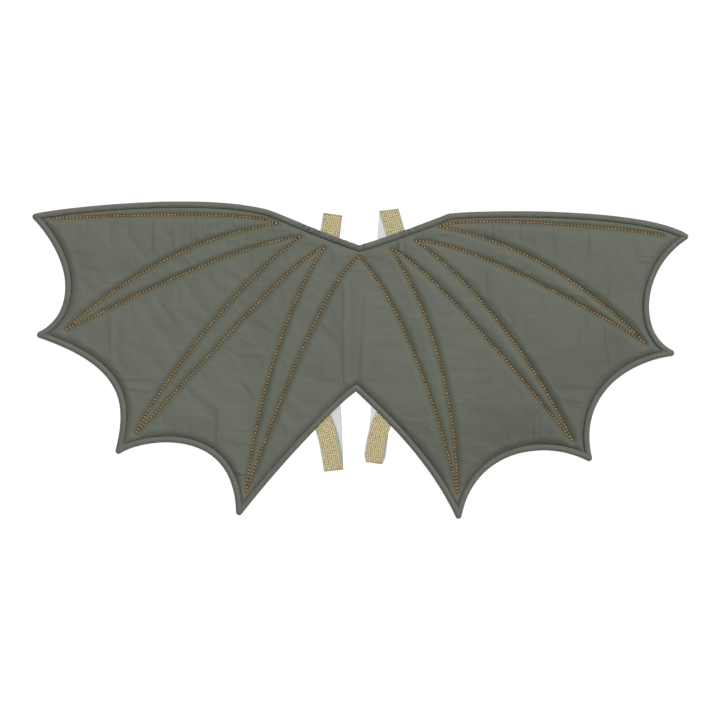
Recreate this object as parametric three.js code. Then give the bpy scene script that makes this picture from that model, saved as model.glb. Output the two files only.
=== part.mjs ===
// Dragon wings to wear on the back: a padded cloth panel in the outline of two wings, a filled piping
// round its edge and two elastic arm loops behind. They lie face up on the floor, in millimetres:
// +X is the wearer's right, +Y the neck and +Z the outer face. Left and right are the wearer's own.
import * as THREE from "three";

// The wings over all
const SPAN = 850;
const HEIGHT = 412;
// Piping
const PIPING_DIAMETER = 8.3;
// Padded panel: its full thickness, and the thickness that a seam or the edge presses it to
const PAD_THICKNESS = 7.4;
const SEAM_THICKNESS = 2.4;
// How far from a seam the filling has risen to its full thickness
const PUFF_REACH = 11;
// Elastic of the arm loops, the air inside its folds, and the end that is sewn under the panel
const ELASTIC_WIDTH = 25;
const ELASTIC_THICKNESS = 1.2;
const FOLD_GAP = 2.6;
const SEWN_LENGTH = 12;
// The wings lie over the arm loops: how far the raised middle runs past them, and how wide it falls
const LIFT_MARGIN = 12;
const LIFT_FALL = 75;
// Air between two pieces
const CLEARANCE = 0.3;
// Spots closer than this are one
const SAME = 1e-6;

// Steps of the meshes
const EDGE_STEP = 13;
const SEAM_STEP = 13;
const FIELD_STEP = 20;
const FLANK = 6;
const CLOSEST = 4.6;
const FIELD_CLOSEST = 12;
const FAN_STEP = 30;
// How much straight edge is left clear before a corner's mitre
const MITRE_MARGIN = 1;
const PIPING_SIDES = 8;
const BAND_STEP = 9;
const FLOOR_STEP = 27;
const FOLD_STEPS = 10;

// Places on the wings are shares of these, from the middle of the wings
const REACH_X = (SPAN - PIPING_DIAMETER) / 2;
const REACH_Y = HEIGHT - PIPING_DIAMETER;

// Corners of the piping's centre line, and ends of the seams
const PLACES = {
  neck_notch: { x: -0.002, y: 0.356 },
  left_shoulder: { x: -0.285, y: 0.4705 },
  left_tip_1: { x: -1, y: 0.459 },
  left_tip_2: { x: -0.986, y: 0.08 },
  left_tip_3: { x: -0.744, y: -0.292 },
  left_tip_4: { x: -0.373, y: -0.489 },
  back_notch: { x: -0.0125, y: -0.089 },
  right_tip_4: { x: 0.302, y: -0.5 },
  right_tip_3: { x: 0.704, y: -0.3155 },
  right_tip_2: { x: 0.957, y: 0.0215 },
  right_tip_1: { x: 1, y: 0.395 },
  right_shoulder: { x: 0.273, y: 0.458 },
  left_root_a: { x: -0.254, y: 0.4375 },
  left_root_c: { x: -0.1835, y: 0.3935 },
  left_root_e: { x: -0.11, y: 0.3595 },
  root_g: { x: -0.004, y: 0.331 },
  left_end_a: { x: -0.951, y: 0.453 },
  left_end_1: { x: -0.9065, y: 0.095 },
  left_end_2: { x: -0.6915, y: -0.2365 },
  left_end_3: { x: -0.353, y: -0.424 },
  right_root_a: { x: 0.241, y: 0.4265 },
  right_root_c: { x: 0.1675, y: 0.381 },
  right_root_e: { x: 0.094, y: 0.3545 },
  right_end_a: { x: 0.9345, y: 0.398 },
  right_end_1: { x: 0.877, y: 0.0535 },
  right_end_2: { x: 0.6535, y: -0.2605 },
  right_end_3: { x: 0.2975, y: -0.4285 },
};

// Each edge and seam is one curve. It leaves and reaches its chord at a turn in degrees, towards the
// left of the way, and its handles reach a share of the chord. The edges run round by the left tips.
const EDGES = [
  { from: "neck_notch", to: "left_shoulder", turnOut: 3.5, reachOut: 0.37, turnIn: -5, reachIn: 0.1 },
  { from: "left_shoulder", to: "left_tip_1", turnOut: -17, reachOut: 0.29, turnIn: -12.5, reachIn: 0.1 },
  { from: "left_tip_1", to: "left_tip_2", turnOut: 41, reachOut: 0.57, turnIn: 66.5, reachIn: 0.33 },
  { from: "left_tip_2", to: "left_tip_3", turnOut: 37, reachOut: 0.68, turnIn: 47.5, reachIn: 0.33 },
  { from: "left_tip_3", to: "left_tip_4", turnOut: 62.5, reachOut: 0.18, turnIn: 61.5, reachIn: 0.69 },
  { from: "left_tip_4", to: "back_notch", turnOut: 5.5, reachOut: 0.35, turnIn: 15.5, reachIn: 0.13 },
  { from: "back_notch", to: "right_tip_4", turnOut: 8.5, reachOut: 0.39, turnIn: 14, reachIn: 0.31 },
  { from: "right_tip_4", to: "right_tip_3", turnOut: 55, reachOut: 0.48, turnIn: 50.5, reachIn: 0.37 },
  { from: "right_tip_3", to: "right_tip_2", turnOut: 51.5, reachOut: 0.45, turnIn: 44, reachIn: 0.4 },
  { from: "right_tip_2", to: "right_tip_1", turnOut: 71, reachOut: 0.35, turnIn: 50, reachIn: 0.49 },
  { from: "right_tip_1", to: "right_shoulder", turnOut: -26.5, reachOut: 0.22, turnIn: -14.5, reachIn: 0.1 },
  { from: "right_shoulder", to: "neck_notch", turnOut: 2.5, reachOut: 0.2, turnIn: 2.5, reachIn: 0.39 },
];
const SEAMS = [
  { from: "left_root_a", to: "left_end_a", turnOut: -24.5, reachOut: 0.13, turnIn: -4, reachIn: 0.33 },
  { from: "left_root_a", to: "left_end_1", turnOut: -17.5, reachOut: 0.34, turnIn: -16, reachIn: 0.36 },
  { from: "left_root_c", to: "left_end_1", turnOut: -17.5, reachOut: 0.22, turnIn: -5.5, reachIn: 0.32 },
  { from: "left_root_c", to: "left_end_2", turnOut: -17, reachOut: 0.22, turnIn: -13, reachIn: 0.31 },
  { from: "left_root_e", to: "left_end_2", turnOut: -25.5, reachOut: 0.12, turnIn: -2, reachIn: 0.6 },
  { from: "left_root_e", to: "left_end_3", turnOut: -17, reachOut: 0.27, turnIn: -11, reachIn: 0.34 },
  { from: "root_g", to: "left_end_3", turnOut: -29.5, reachOut: 0.16, turnIn: -5.5, reachIn: 0.33 },
  { from: "right_root_a", to: "right_end_a", turnOut: 32.5, reachOut: 0.12, turnIn: 12, reachIn: 0.12 },
  { from: "right_root_a", to: "right_end_1", turnOut: 19, reachOut: 0.35, turnIn: 16, reachIn: 0.36 },
  { from: "right_root_c", to: "right_end_1", turnOut: 24.5, reachOut: 0.2, turnIn: 8.5, reachIn: 0.29 },
  { from: "right_root_c", to: "right_end_2", turnOut: 18, reachOut: 0.26, turnIn: 13, reachIn: 0.37 },
  { from: "right_root_e", to: "right_end_2", turnOut: 25, reachOut: 0.15, turnIn: 4.5, reachIn: 0.34 },
  { from: "right_root_e", to: "right_end_3", turnOut: 18, reachOut: 0.31, turnIn: 15, reachIn: 0.34 },
  { from: "root_g", to: "right_end_3", turnOut: 21, reachOut: 0.25, turnIn: 12, reachIn: 0.23 },
];

// Each end of an arm loop is caught in the seam of an edge, at a share of the way along it, and runs out to
// a fold. heading is the way from the edge to the fold, in degrees from +X, as the upper layer reaches the
// fold, and under the same for the layer below. The lower layer joins the two folds of its loop.
const LOOPS = [
  {
    name: "strap_left",
    ends: [
      { edge: "neck_notch", share: 0.325, x: -0.0845, y: 0.468, heading: 81.5, under: 84 },
      { edge: "left_tip_4", share: 0.733, x: -0.082, y: -0.3565, heading: -79.5, under: -91 },
    ],
  },
  {
    name: "strap_right",
    ends: [
      { edge: "right_shoulder", share: 0.595, x: 0.088, y: 0.4815, heading: 108.4, under: 85.2 },
      { edge: "back_notch", share: 0.225, x: 0.044, y: -0.3325, heading: -96, under: -98 },
    ],
  },
];

// Derived levels, from the floor up
const MID_HEIGHT = Math.max(PIPING_DIAMETER, PAD_THICKNESS) / 2;
const FOLD_RADIUS = (FOLD_GAP + ELASTIC_THICKNESS) / 2;
const LOWER_LAYER = ELASTIC_THICKNESS / 2;
const UPPER_LAYER = LOWER_LAYER + 2 * FOLD_RADIUS;
const LIFT = UPPER_LAYER + ELASTIC_THICKNESS / 2 + CLEARANCE - (MID_HEIGHT - PIPING_DIAMETER / 2);
const PIPING_RADIUS = PIPING_DIAMETER / 2;
const PANEL_INSET = PIPING_RADIUS + CLEARANCE;

// Plane geometry

function place(name) {
  return new THREE.Vector2(PLACES[name].x * REACH_X, PLACES[name].y * REACH_Y);
}

function direction(degrees) {
  const angle = THREE.MathUtils.degToRad(degrees);
  return new THREE.Vector2(Math.cos(angle), Math.sin(angle));
}

function turned(vector, degrees) {
  return vector.clone().rotateAround(new THREE.Vector2(), THREE.MathUtils.degToRad(degrees));
}

function leftOf(vector) {
  return new THREE.Vector2(-vector.y, vector.x);
}

function along(start, vector, length) {
  return start.clone().addScaledVector(vector, length);
}

function bowedCurve({ from, to, turnOut, reachOut, turnIn, reachIn }) {
  const start = place(from);
  const end = place(to);
  const chord = end.clone().sub(start);
  const firstHandle = along(start, turned(chord, turnOut), reachOut);
  const secondHandle = along(end, turned(chord, -turnIn), -reachIn);
  return new THREE.CubicBezierCurve(start, firstHandle, secondHandle, end);
}

// A curve that leaves start along wayOut and reaches end along wayIn, without a bulge
function bandCurve(start, wayOut, end, wayIn) {
  const handle = start.distanceTo(end) / 3;
  return new THREE.CubicBezierCurve(start, along(start, wayOut, handle), along(end, wayIn, -handle), end);
}

function smooth(share) {
  return THREE.MathUtils.smoothstep(share, 0, 1);
}

function distanceToSegment(point, a, b) {
  const side = b.clone().sub(a);
  const share = THREE.MathUtils.clamp(point.clone().sub(a).dot(side) / side.lengthSq(), 0, 1);
  return along(a, side, share).distanceTo(point);
}

function distanceToLine(point, line) {
  let least = Infinity;
  for (let i = 1; i < line.length; i++) {
    least = Math.min(least, distanceToSegment(point, line[i - 1], line[i]));
  }
  return least;
}

function insideLoop(point, loop) {
  let inside = false;
  loop.forEach((a, i) => {
    const b = loop[(i + 1) % loop.length];
    const crosses = a.y > point.y !== b.y > point.y;
    if (crosses && point.x < a.x + ((b.x - a.x) * (point.y - a.y)) / (b.y - a.y)) inside = !inside;
  });
  return inside;
}

// Stations round the edge

// A station is a point of the piping's centre line, with the way to go for each millimetre of offset to the
// left, which is inwards, and to the right. At a corner the two sides of the smaller angle meet in a
// mitre, and the other side fans round the corner point.
function cornerStations(before, after) {
  const point = after.v0;
  const wayIn = before.getTangent(1);
  const wayOut = after.getTangent(0);
  const turn = THREE.MathUtils.radToDeg(Math.atan2(wayIn.cross(wayOut), wayIn.dot(wayOut)));
  const halfAngle = THREE.MathUtils.degToRad((180 - Math.abs(turn)) / 2);
  const mitre = wayOut.clone().sub(wayIn).normalize().divideScalar(Math.sin(halfAngle));
  const steps = Math.ceil(Math.abs(turn) / FAN_STEP);
  const outerSide = turn > 0 ? leftOf(wayIn).negate() : leftOf(wayIn);
  const stations = [];
  for (let i = 0; i <= steps; i++) {
    const fan = turned(outerSide, (turn * i) / steps);
    stations.push(turn > 0 ? { point, left: mitre, right: fan } : { point, left: fan, right: mitre });
  }
  return { stations, hidden: PANEL_INSET / Math.tan(halfAngle) + MITRE_MARGIN };
}

function edgeStations() {
  const curves = EDGES.map(bowedCurve);
  const corners = curves.map((curve, i) => cornerStations(curves.at(i - 1), curve));
  return curves.flatMap((curve, i) => {
    const length = curve.getLength();
    const start = corners[i].hidden;
    const free = length - start - corners[(i + 1) % corners.length].hidden;
    const steps = Math.ceil(free / EDGE_STEP);
    const stations = [];
    for (let k = 0; k <= steps; k++) {
      const share = (start + (free * k) / steps) / length;
      const left = leftOf(curve.getTangentAt(share));
      stations.push({ point: curve.getPointAt(share), left, right: left.clone().negate() });
    }
    return [...corners[i].stations, ...stations];
  });
}

const STATIONS = edgeStations();
const SEAM_CURVES = SEAMS.map(bowedCurve);
const PANEL_EDGE = STATIONS.map(({ point, left }) => along(point, left, PANEL_INSET)).filter(
  (point, i, all) => point.distanceTo(all.at(i - 1)) > SAME,
);
const PRESSED_LINES = [
  [...PANEL_EDGE, PANEL_EDGE[0]],
  ...SEAM_CURVES.map((curve) => curve.getSpacedPoints(Math.ceil(curve.getLength() / SEAM_STEP))),
];

// Arm loops in plan

// The end of a loop: the sewn end under the panel, the axis of the fold, and the two ways towards it
function loopEnd({ edge, share, x, y, heading, under }) {
  const curve = bowedCurve(EDGES.find(({ from }) => from === edge));
  const outwards = leftOf(curve.getTangentAt(share)).negate();
  const sewn = along(curve.getPointAt(share), outwards, -(PANEL_INSET + SEWN_LENGTH));
  const upperWay = direction(heading);
  const lowerWay = direction(under);
  const foldWay = upperWay.clone().add(lowerWay).normalize();
  const outerPoint = new THREE.Vector2(x * REACH_X, y * REACH_Y);
  const axis = along(outerPoint, foldWay, -(FOLD_RADIUS + ELASTIC_THICKNESS / 2));
  return { sewn, axis, upperWay, lowerWay, foldWay, upper: bandCurve(sewn, outwards, axis, upperWay) };
}

const LOOP_PLANS = LOOPS.map(({ name, ends }) => {
  const [top, bottom] = ends.map(loopEnd);
  const lower = bandCurve(top.axis, top.lowerWay.clone().negate(), bottom.axis, bottom.lowerWay);
  return { name, top, bottom, lower };
});

// The stretch that lies over the loops is raised, and falls to the floor on both sides
const LOOP_REACH = Math.max(
  ...LOOP_PLANS.flatMap(({ top, bottom, lower }) =>
    [top.upper, bottom.upper, lower].flatMap((curve) => curve.getPoints(8).map(({ x }) => Math.abs(x))),
  ),
);
const RAISED = LOOP_REACH + ELASTIC_WIDTH / 2 + LIFT_MARGIN;

function middleHeight({ x }) {
  return MID_HEIGHT + LIFT * smooth((RAISED + LIFT_FALL - Math.abs(x)) / LIFT_FALL);
}

// Half the panel's thickness: pressed thin at seams and edge, and rising from them in a parabola, steep at
// the stitches and level at the crown
function halfThickness(point) {
  const distance = Math.min(...PRESSED_LINES.map((line) => distanceToLine(point, line)));
  const risen = 1 - (1 - Math.min(1, distance / PUFF_REACH)) ** 2;
  return (SEAM_THICKNESS + (PAD_THICKNESS - SEAM_THICKNESS) * risen) / 2;
}

// Meshes

function solidMesh(name, positions, faces, material) {
  const geometry = new THREE.BufferGeometry();
  geometry.setAttribute("position", new THREE.Float32BufferAttribute(positions.flat(), 3));
  geometry.setIndex(faces.filter(([a, b, c]) => a !== b && b !== c && c !== a).flat());
  geometry.computeVertexNormals();
  const mesh = new THREE.Mesh(geometry, material);
  mesh.name = name;
  return mesh;
}

// Rings of the same number of points, joined in order into a tube, with round telling whether it closes on
// itself or has two flat ends. The points of a ring run the right-hand way about the direction of the tube.
function tubeFaces(rings, round) {
  const faces = [];
  const last = round ? rings.length : rings.length - 1;
  for (let i = 0; i < last; i++) {
    const ring = rings[i];
    const next = rings[(i + 1) % rings.length];
    ring.forEach((a, k) => {
      const b = ring[(k + 1) % ring.length];
      const c = next[(k + 1) % ring.length];
      const d = next[k];
      faces.push([a, b, c], [a, c, d]);
    });
  }
  if (!round) {
    const [start, end] = [rings[0], rings.at(-1)];
    for (let k = 2; k < start.length; k++) {
      faces.push([start[0], start[k], start[k - 1]], [end[0], end[k - 1], end[k]]);
    }
  }
  return faces;
}

// A round tube along the stations. At a corner the ring's mitred half stands still while the other turns.
function pipingMesh() {
  const positions = [];
  const rings = STATIONS.map(({ point, left, right }) => {
    const ring = [];
    for (let k = 0; k < PIPING_SIDES; k++) {
      const angle = (2 * Math.PI * k) / PIPING_SIDES;
      const out = Math.cos(angle);
      const plan = along(point, out < 0 ? left : right, PIPING_RADIUS * Math.abs(out));
      const height = middleHeight(point) - PIPING_RADIUS * Math.sin(angle);
      ring.push([plan.x, plan.y, height]);
    }
    return ring;
  });
  const numbered = rings.map((ring) => ring.map((spot) => indexOfSpot(positions, spot)));
  return solidMesh("edge_piping", positions, tubeFaces(numbered, true), CLOTH_PIPING);
}

// The number of a spot in the list, which it joins unless one of the last few spots is the same
function indexOfSpot(positions, spot) {
  const recent = Math.max(0, positions.length - 2 * PIPING_SIDES);
  for (let i = recent; i < positions.length; i++) {
    if (positions[i].every((value, axis) => Math.abs(value - spot[axis]) < SAME)) return i;
  }
  return positions.push(spot) - 1;
}

// Points of the panel's mesh: its edge, a row inside the edge, the seams with a row on each side, and a
// staggered field between them. A point is left out where an earlier one is too close.
function panelPoints() {
  const points = [...PANEL_EDGE];
  const offer = (point, closest) => {
    if (points.every((other) => other.distanceTo(point) > closest)) points.push(point);
  };
  const offerInside = (point, closest) => {
    if (insideLoop(point, PANEL_EDGE) && distanceToLine(point, PRESSED_LINES[0]) > CLOSEST) {
      offer(point, closest);
    }
  };
  PRESSED_LINES.slice(1).forEach((line) => line.forEach((point) => offerInside(point, CLOSEST)));
  STATIONS.forEach(({ point, left }) => offerInside(along(point, left, PANEL_INSET + FLANK), CLOSEST));
  SEAM_CURVES.forEach((curve) => {
    const steps = Math.ceil(curve.getLength() / SEAM_STEP);
    for (let i = 0; i <= steps; i++) {
      const side = leftOf(curve.getTangentAt(i / steps));
      offerInside(along(curve.getPointAt(i / steps), side, FLANK), CLOSEST);
      offerInside(along(curve.getPointAt(i / steps), side, -FLANK), CLOSEST);
    }
  });
  const rowStep = (FIELD_STEP * Math.sqrt(3)) / 2;
  const rows = Math.ceil(REACH_Y / rowStep);
  const columns = Math.ceil(REACH_X / FIELD_STEP);
  for (let row = -rows; row <= rows; row++) {
    for (let column = -columns; column <= columns; column++) {
      const x = (column + (row % 2) / 2) * FIELD_STEP;
      offerInside(new THREE.Vector2(x, row * rowStep), FIELD_CLOSEST);
    }
  }
  return points;
}

// The edges that only one of the triangles has, each in that triangle's direction
function openEdges(triangles) {
  const open = new Map();
  triangles.forEach((corners) =>
    corners.forEach((a, i) => {
      const b = corners[(i + 1) % 3];
      if (!open.delete(`${b},${a}`)) open.set(`${a},${b}`, [a, b]);
    }),
  );
  return [...open.values()];
}

// Delaunay triangles of the points, anticlockwise, added point by point inside one far triangle. A hair of
// irregularity in where the points are taken to lie keeps four of them from sharing one circle.
function delaunay(points) {
  const hair = 1e-3;
  const spots = points.map(({ x, y }, i) => [x + hair * Math.sin(i), y + hair * Math.cos(i)]);
  const far = 10 * (SPAN + HEIGHT);
  spots.push([-far, -far], [far, -far], [0, far]);
  const around = (a, b, c) => {
    const [ax, ay] = spots[a];
    const [bx, by] = [spots[b][0] - ax, spots[b][1] - ay];
    const [cx, cy] = [spots[c][0] - ax, spots[c][1] - ay];
    const twice = 2 * (bx * cy - by * cx);
    const ux = (cy * (bx * bx + by * by) - by * (cx * cx + cy * cy)) / twice;
    const uy = (bx * (cx * cx + cy * cy) - cx * (bx * bx + by * by)) / twice;
    return { corners: [a, b, c], x: ax + ux, y: ay + uy, reach: ux * ux + uy * uy };
  };
  let triangles = [around(points.length, points.length + 1, points.length + 2)];
  points.forEach((_, index) => {
    const [px, py] = spots[index];
    const isClear = ({ x, y, reach }) => (x - px) ** 2 + (y - py) ** 2 >= reach;
    const hit = triangles.filter((triangle) => !isClear(triangle));
    const added = openEdges(hit.map(({ corners }) => corners)).map(([a, b]) => around(a, b, index));
    triangles = [...triangles.filter(isClear), ...added];
  });
  return triangles.map(({ corners }) => corners).filter((corners) => Math.max(...corners) < points.length);
}

// The quilted panel: one face above and one below on the same triangles, and a wall round the edge
function panelMesh() {
  const points = panelPoints();
  const faces = delaunay(points).filter((corners) => {
    const centre = new THREE.Vector2();
    corners.forEach((corner) => centre.addScaledVector(points[corner], 1 / 3));
    return insideLoop(centre, PANEL_EDGE);
  });
  const halves = points.map(halfThickness);
  const upper = points.map((point, i) => [point.x, point.y, middleHeight(point) + halves[i]]);
  const lower = points.map((point, i) => [point.x, point.y, middleHeight(point) - halves[i]]);
  const count = points.length;
  const walls = openEdges(faces).flatMap(([a, b]) => [
    [a, b + count, b],
    [a, a + count, b + count],
  ]);
  const under = faces.map(([a, b, c]) => [a + count, c + count, b + count]);
  return solidMesh("wing_panel", [...upper, ...lower], [...faces, ...under, ...walls], CLOTH_PANEL);
}

// The height of the middle of the elastic at a distance from its sewn end: level between the fold and the
// piping, and rising inside the piping to just below the panel
function sewnRise(end, distance) {
  const across = leftOf(end.upper.getTangent(0));
  const shares = [-0.5, -0.25, 0, 0.25, 0.5];
  const undersides = shares.map((share) => {
    const point = along(end.sewn, across, share * ELASTIC_WIDTH);
    return middleHeight(point) - halfThickness(point);
  });
  const top = Math.min(...undersides) - CLEARANCE - ELASTIC_THICKNESS / 2;
  return THREE.MathUtils.lerp(top, UPPER_LAYER, smooth(distance / SEWN_LENGTH));
}

// Cross-sections of one elastic, from its upper sewn end over the top fold, along the floor and over the
// bottom fold to its other sewn end. Each has a centre, the way across and the way out of the loop.
function bandSections({ top, bottom, lower }) {
  const up = new THREE.Vector3(0, 0, 1);
  const flat = (vector) => new THREE.Vector3(vector.x, vector.y, 0);
  const upperRun = (end, side) => {
    const length = end.upper.getLength();
    const steps = Math.ceil(length / BAND_STEP);
    return Array.from({ length: steps + 1 }, (_, i) => {
      const centre = flat(end.upper.getPointAt(i / steps)).setZ(sewnRise(end, (length * i) / steps));
      const across = flat(leftOf(end.upper.getTangentAt(i / steps))).multiplyScalar(side);
      return { centre, across, out: up };
    });
  };
  const fold = (end, side) =>
    Array.from({ length: FOLD_STEPS - 1 }, (_, i) => {
      const share = (i + 1) / FOLD_STEPS;
      const out = flat(end.foldWay).multiplyScalar(Math.sin(Math.PI * share));
      out.addScaledVector(up, Math.cos(Math.PI * share));
      const centre = flat(end.axis).setZ(LOWER_LAYER + FOLD_RADIUS).addScaledVector(out, FOLD_RADIUS);
      const way = end.upperWay.clone().lerp(end.lowerWay, share).normalize();
      return { centre, across: flat(leftOf(way)).multiplyScalar(side), out };
    });
  const lowerSteps = Math.ceil(lower.getLength() / FLOOR_STEP);
  const lowerRun = Array.from({ length: lowerSteps + 1 }, (_, i) => {
    const centre = flat(lower.getPointAt(i / lowerSteps)).setZ(LOWER_LAYER);
    const across = flat(leftOf(lower.getTangentAt(i / lowerSteps))).negate();
    return { centre, across, out: up.clone().negate() };
  });
  return [
    ...upperRun(top, 1),
    ...fold(top, 1),
    ...lowerRun,
    ...fold(bottom, -1).reverse(),
    ...upperRun(bottom, -1).reverse(),
  ];
}

function strapMesh(plan) {
  const positions = [];
  const rings = bandSections(plan).map(({ centre, across, out }) => {
    const corners = [
      [-1, -1],
      [1, -1],
      [1, 1],
      [-1, 1],
    ];
    return corners.map(([aside, outwards]) => {
      const corner = centre.clone().addScaledVector(across, (aside * ELASTIC_WIDTH) / 2);
      corner.addScaledVector(out, (outwards * ELASTIC_THICKNESS) / 2);
      return positions.push(corner.toArray()) - 1;
    });
  });
  return solidMesh(plan.name, positions, tubeFaces(rings, false), ELASTIC);
}

const CLOTH_PANEL = new THREE.MeshStandardMaterial({ color: 0x6a6e63, roughness: 0.7, metalness: 0 });
const CLOTH_PIPING = new THREE.MeshStandardMaterial({ color: 0x686e64, roughness: 0.65, metalness: 0 });
const ELASTIC = new THREE.MeshStandardMaterial({ color: 0xb8ab87, roughness: 0.5, metalness: 0.3 });

const wings = new THREE.Group();
wings.name = "dragon_wings";
wings.add(panelMesh(), pipingMesh(), ...LOOP_PLANS.map(strapMesh));

// The origin is on the floor, under the middle of the wings
const box = new THREE.Box3().setFromObject(wings, true);
const middle = box.getCenter(new THREE.Vector3());
wings.position.set(-middle.x, -middle.y, -box.min.z);

export default wings;
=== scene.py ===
"""Dragon wings to wear on the back: a quilted cloth panel in the outline of two wings, gold stitches along
its ribs, a filled piping round its edge and two elastic arm loops behind.

The file is laid out as a Blender add-on and is run as a script. All is in metres in the part's own frame:
the wings lie face up, +X is the wearer's right, +Y the neck and +Z the outer face. A place in plan is one
complex number, x + iy, so that a turn is a product.
"""

import bmesh
import bpy
import numpy as np
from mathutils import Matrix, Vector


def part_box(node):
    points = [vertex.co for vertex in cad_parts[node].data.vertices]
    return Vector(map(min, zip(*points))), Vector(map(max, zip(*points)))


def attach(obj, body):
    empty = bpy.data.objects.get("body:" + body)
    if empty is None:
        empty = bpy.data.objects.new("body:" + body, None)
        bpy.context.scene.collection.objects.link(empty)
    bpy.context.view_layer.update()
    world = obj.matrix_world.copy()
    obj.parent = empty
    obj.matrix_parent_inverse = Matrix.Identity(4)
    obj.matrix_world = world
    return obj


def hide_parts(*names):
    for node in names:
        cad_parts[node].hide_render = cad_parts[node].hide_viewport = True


bl_info = {
    "name": "Dragon wings",
    "version": (1, 0, 0),
    "blender": (4, 5, 0),
    "location": "3D View > Sidebar > Wings",
    "description": "Dresses the frame of a pair of quilted dragon wings",
    "category": "Add Mesh",
}

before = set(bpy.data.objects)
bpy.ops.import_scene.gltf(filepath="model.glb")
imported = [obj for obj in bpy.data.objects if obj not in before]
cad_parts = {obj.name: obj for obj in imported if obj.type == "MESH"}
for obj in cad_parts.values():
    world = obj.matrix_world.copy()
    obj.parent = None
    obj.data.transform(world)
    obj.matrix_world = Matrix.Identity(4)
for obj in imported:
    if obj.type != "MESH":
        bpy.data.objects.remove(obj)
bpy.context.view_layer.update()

MM = 0.001
BODY = "root"

# The wings over all, and the levels of their pieces
SPAN = 0.850
HEIGHT = 0.412
PIPING_DIAMETER = 0.0083
PIPING_RADIUS = PIPING_DIAMETER / 2
MID_HEIGHT = PIPING_RADIUS
LIFT = 0.0053
LIFT_FALL = 0.075
RAISED = 0.085
ELASTIC_WIDTH = 0.025
ELASTIC_THICKNESS = 0.0012
FOLD_RADIUS = 0.0019
LOWER_LAYER = 0.0006
UPPER_LAYER = 0.0044
SEWN_LENGTH = 0.012
PANEL_INSET = 0.00445
CLEARANCE = 0.0003
# Half the thickness of the frame's own panel, over which an arm loop's sewn end lies
FRAME_HALF_PAD = 0.0037
# How much farther the panel's edge runs in under the piping at a tip, up to where, and how far it is eased
TIP_TUCK = 0.0026
TIP_REACH = 0.016
TIP_EASE = 0.012
REACH_X = (SPAN - PIPING_DIAMETER) / 2
REACH_Y = HEIGHT - PIPING_DIAMETER

# Corners of the piping's centre line and ends of the seams, as shares of the two reaches
PLACES = {
    "neck_notch": (-0.002, 0.356),
    "left_shoulder": (-0.285, 0.4705),
    "left_tip_1": (-1, 0.459),
    "left_tip_2": (-0.986, 0.08),
    "left_tip_3": (-0.744, -0.292),
    "left_tip_4": (-0.373, -0.489),
    "back_notch": (-0.0125, -0.089),
    "right_tip_4": (0.302, -0.5),
    "right_tip_3": (0.704, -0.3155),
    "right_tip_2": (0.957, 0.0215),
    "right_tip_1": (1, 0.395),
    "right_shoulder": (0.273, 0.458),
    "left_root_a": (-0.254, 0.4375),
    "left_root_c": (-0.1835, 0.3935),
    "left_root_e": (-0.11, 0.3595),
    "root_g": (-0.004, 0.331),
    "left_end_a": (-0.951, 0.453),
    "left_end_1": (-0.9065, 0.095),
    "left_end_2": (-0.6915, -0.2365),
    "left_end_3": (-0.353, -0.424),
    "right_root_a": (0.241, 0.4265),
    "right_root_c": (0.1675, 0.381),
    "right_root_e": (0.094, 0.3545),
    "right_end_a": (0.9345, 0.398),
    "right_end_1": (0.877, 0.0535),
    "right_end_2": (0.6535, -0.2605),
    "right_end_3": (0.2975, -0.4285),
}
# Each edge and seam is one curve: it leaves and reaches its chord at a turn in degrees, and its handles
# reach a share of the chord. The edges run round by the left tips, with the inside on their left.
EDGES = [
    ("neck_notch", "left_shoulder", 3.5, 0.37, -5, 0.1),
    ("left_shoulder", "left_tip_1", -17, 0.29, -12.5, 0.1),
    ("left_tip_1", "left_tip_2", 41, 0.57, 66.5, 0.33),
    ("left_tip_2", "left_tip_3", 37, 0.68, 47.5, 0.33),
    ("left_tip_3", "left_tip_4", 62.5, 0.18, 61.5, 0.69),
    ("left_tip_4", "back_notch", 5.5, 0.35, 15.5, 0.13),
    ("back_notch", "right_tip_4", 8.5, 0.39, 14, 0.31),
    ("right_tip_4", "right_tip_3", 55, 0.48, 50.5, 0.37),
    ("right_tip_3", "right_tip_2", 51.5, 0.45, 44, 0.4),
    ("right_tip_2", "right_tip_1", 71, 0.35, 50, 0.49),
    ("right_tip_1", "right_shoulder", -26.5, 0.22, -14.5, 0.1),
    ("right_shoulder", "neck_notch", 2.5, 0.2, 2.5, 0.39),
]
SEAMS = [
    ("left_root_a", "left_end_a", -24.5, 0.13, -4, 0.33),
    ("left_root_a", "left_end_1", -17.5, 0.34, -16, 0.36),
    ("left_root_c", "left_end_1", -17.5, 0.22, -5.5, 0.32),
    ("left_root_c", "left_end_2", -17, 0.22, -13, 0.31),
    ("left_root_e", "left_end_2", -25.5, 0.12, -2, 0.6),
    ("left_root_e", "left_end_3", -17, 0.27, -11, 0.34),
    ("root_g", "left_end_3", -29.5, 0.16, -5.5, 0.33),
    ("right_root_a", "right_end_a", 32.5, 0.12, 12, 0.12),
    ("right_root_a", "right_end_1", 19, 0.35, 16, 0.36),
    ("right_root_c", "right_end_1", 24.5, 0.2, 8.5, 0.29),
    ("right_root_c", "right_end_2", 18, 0.26, 13, 0.37),
    ("right_root_e", "right_end_2", 25, 0.15, 4.5, 0.34),
    ("right_root_e", "right_end_3", 18, 0.31, 15, 0.34),
    ("root_g", "right_end_3", 21, 0.25, 12, 0.23),
]
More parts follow.
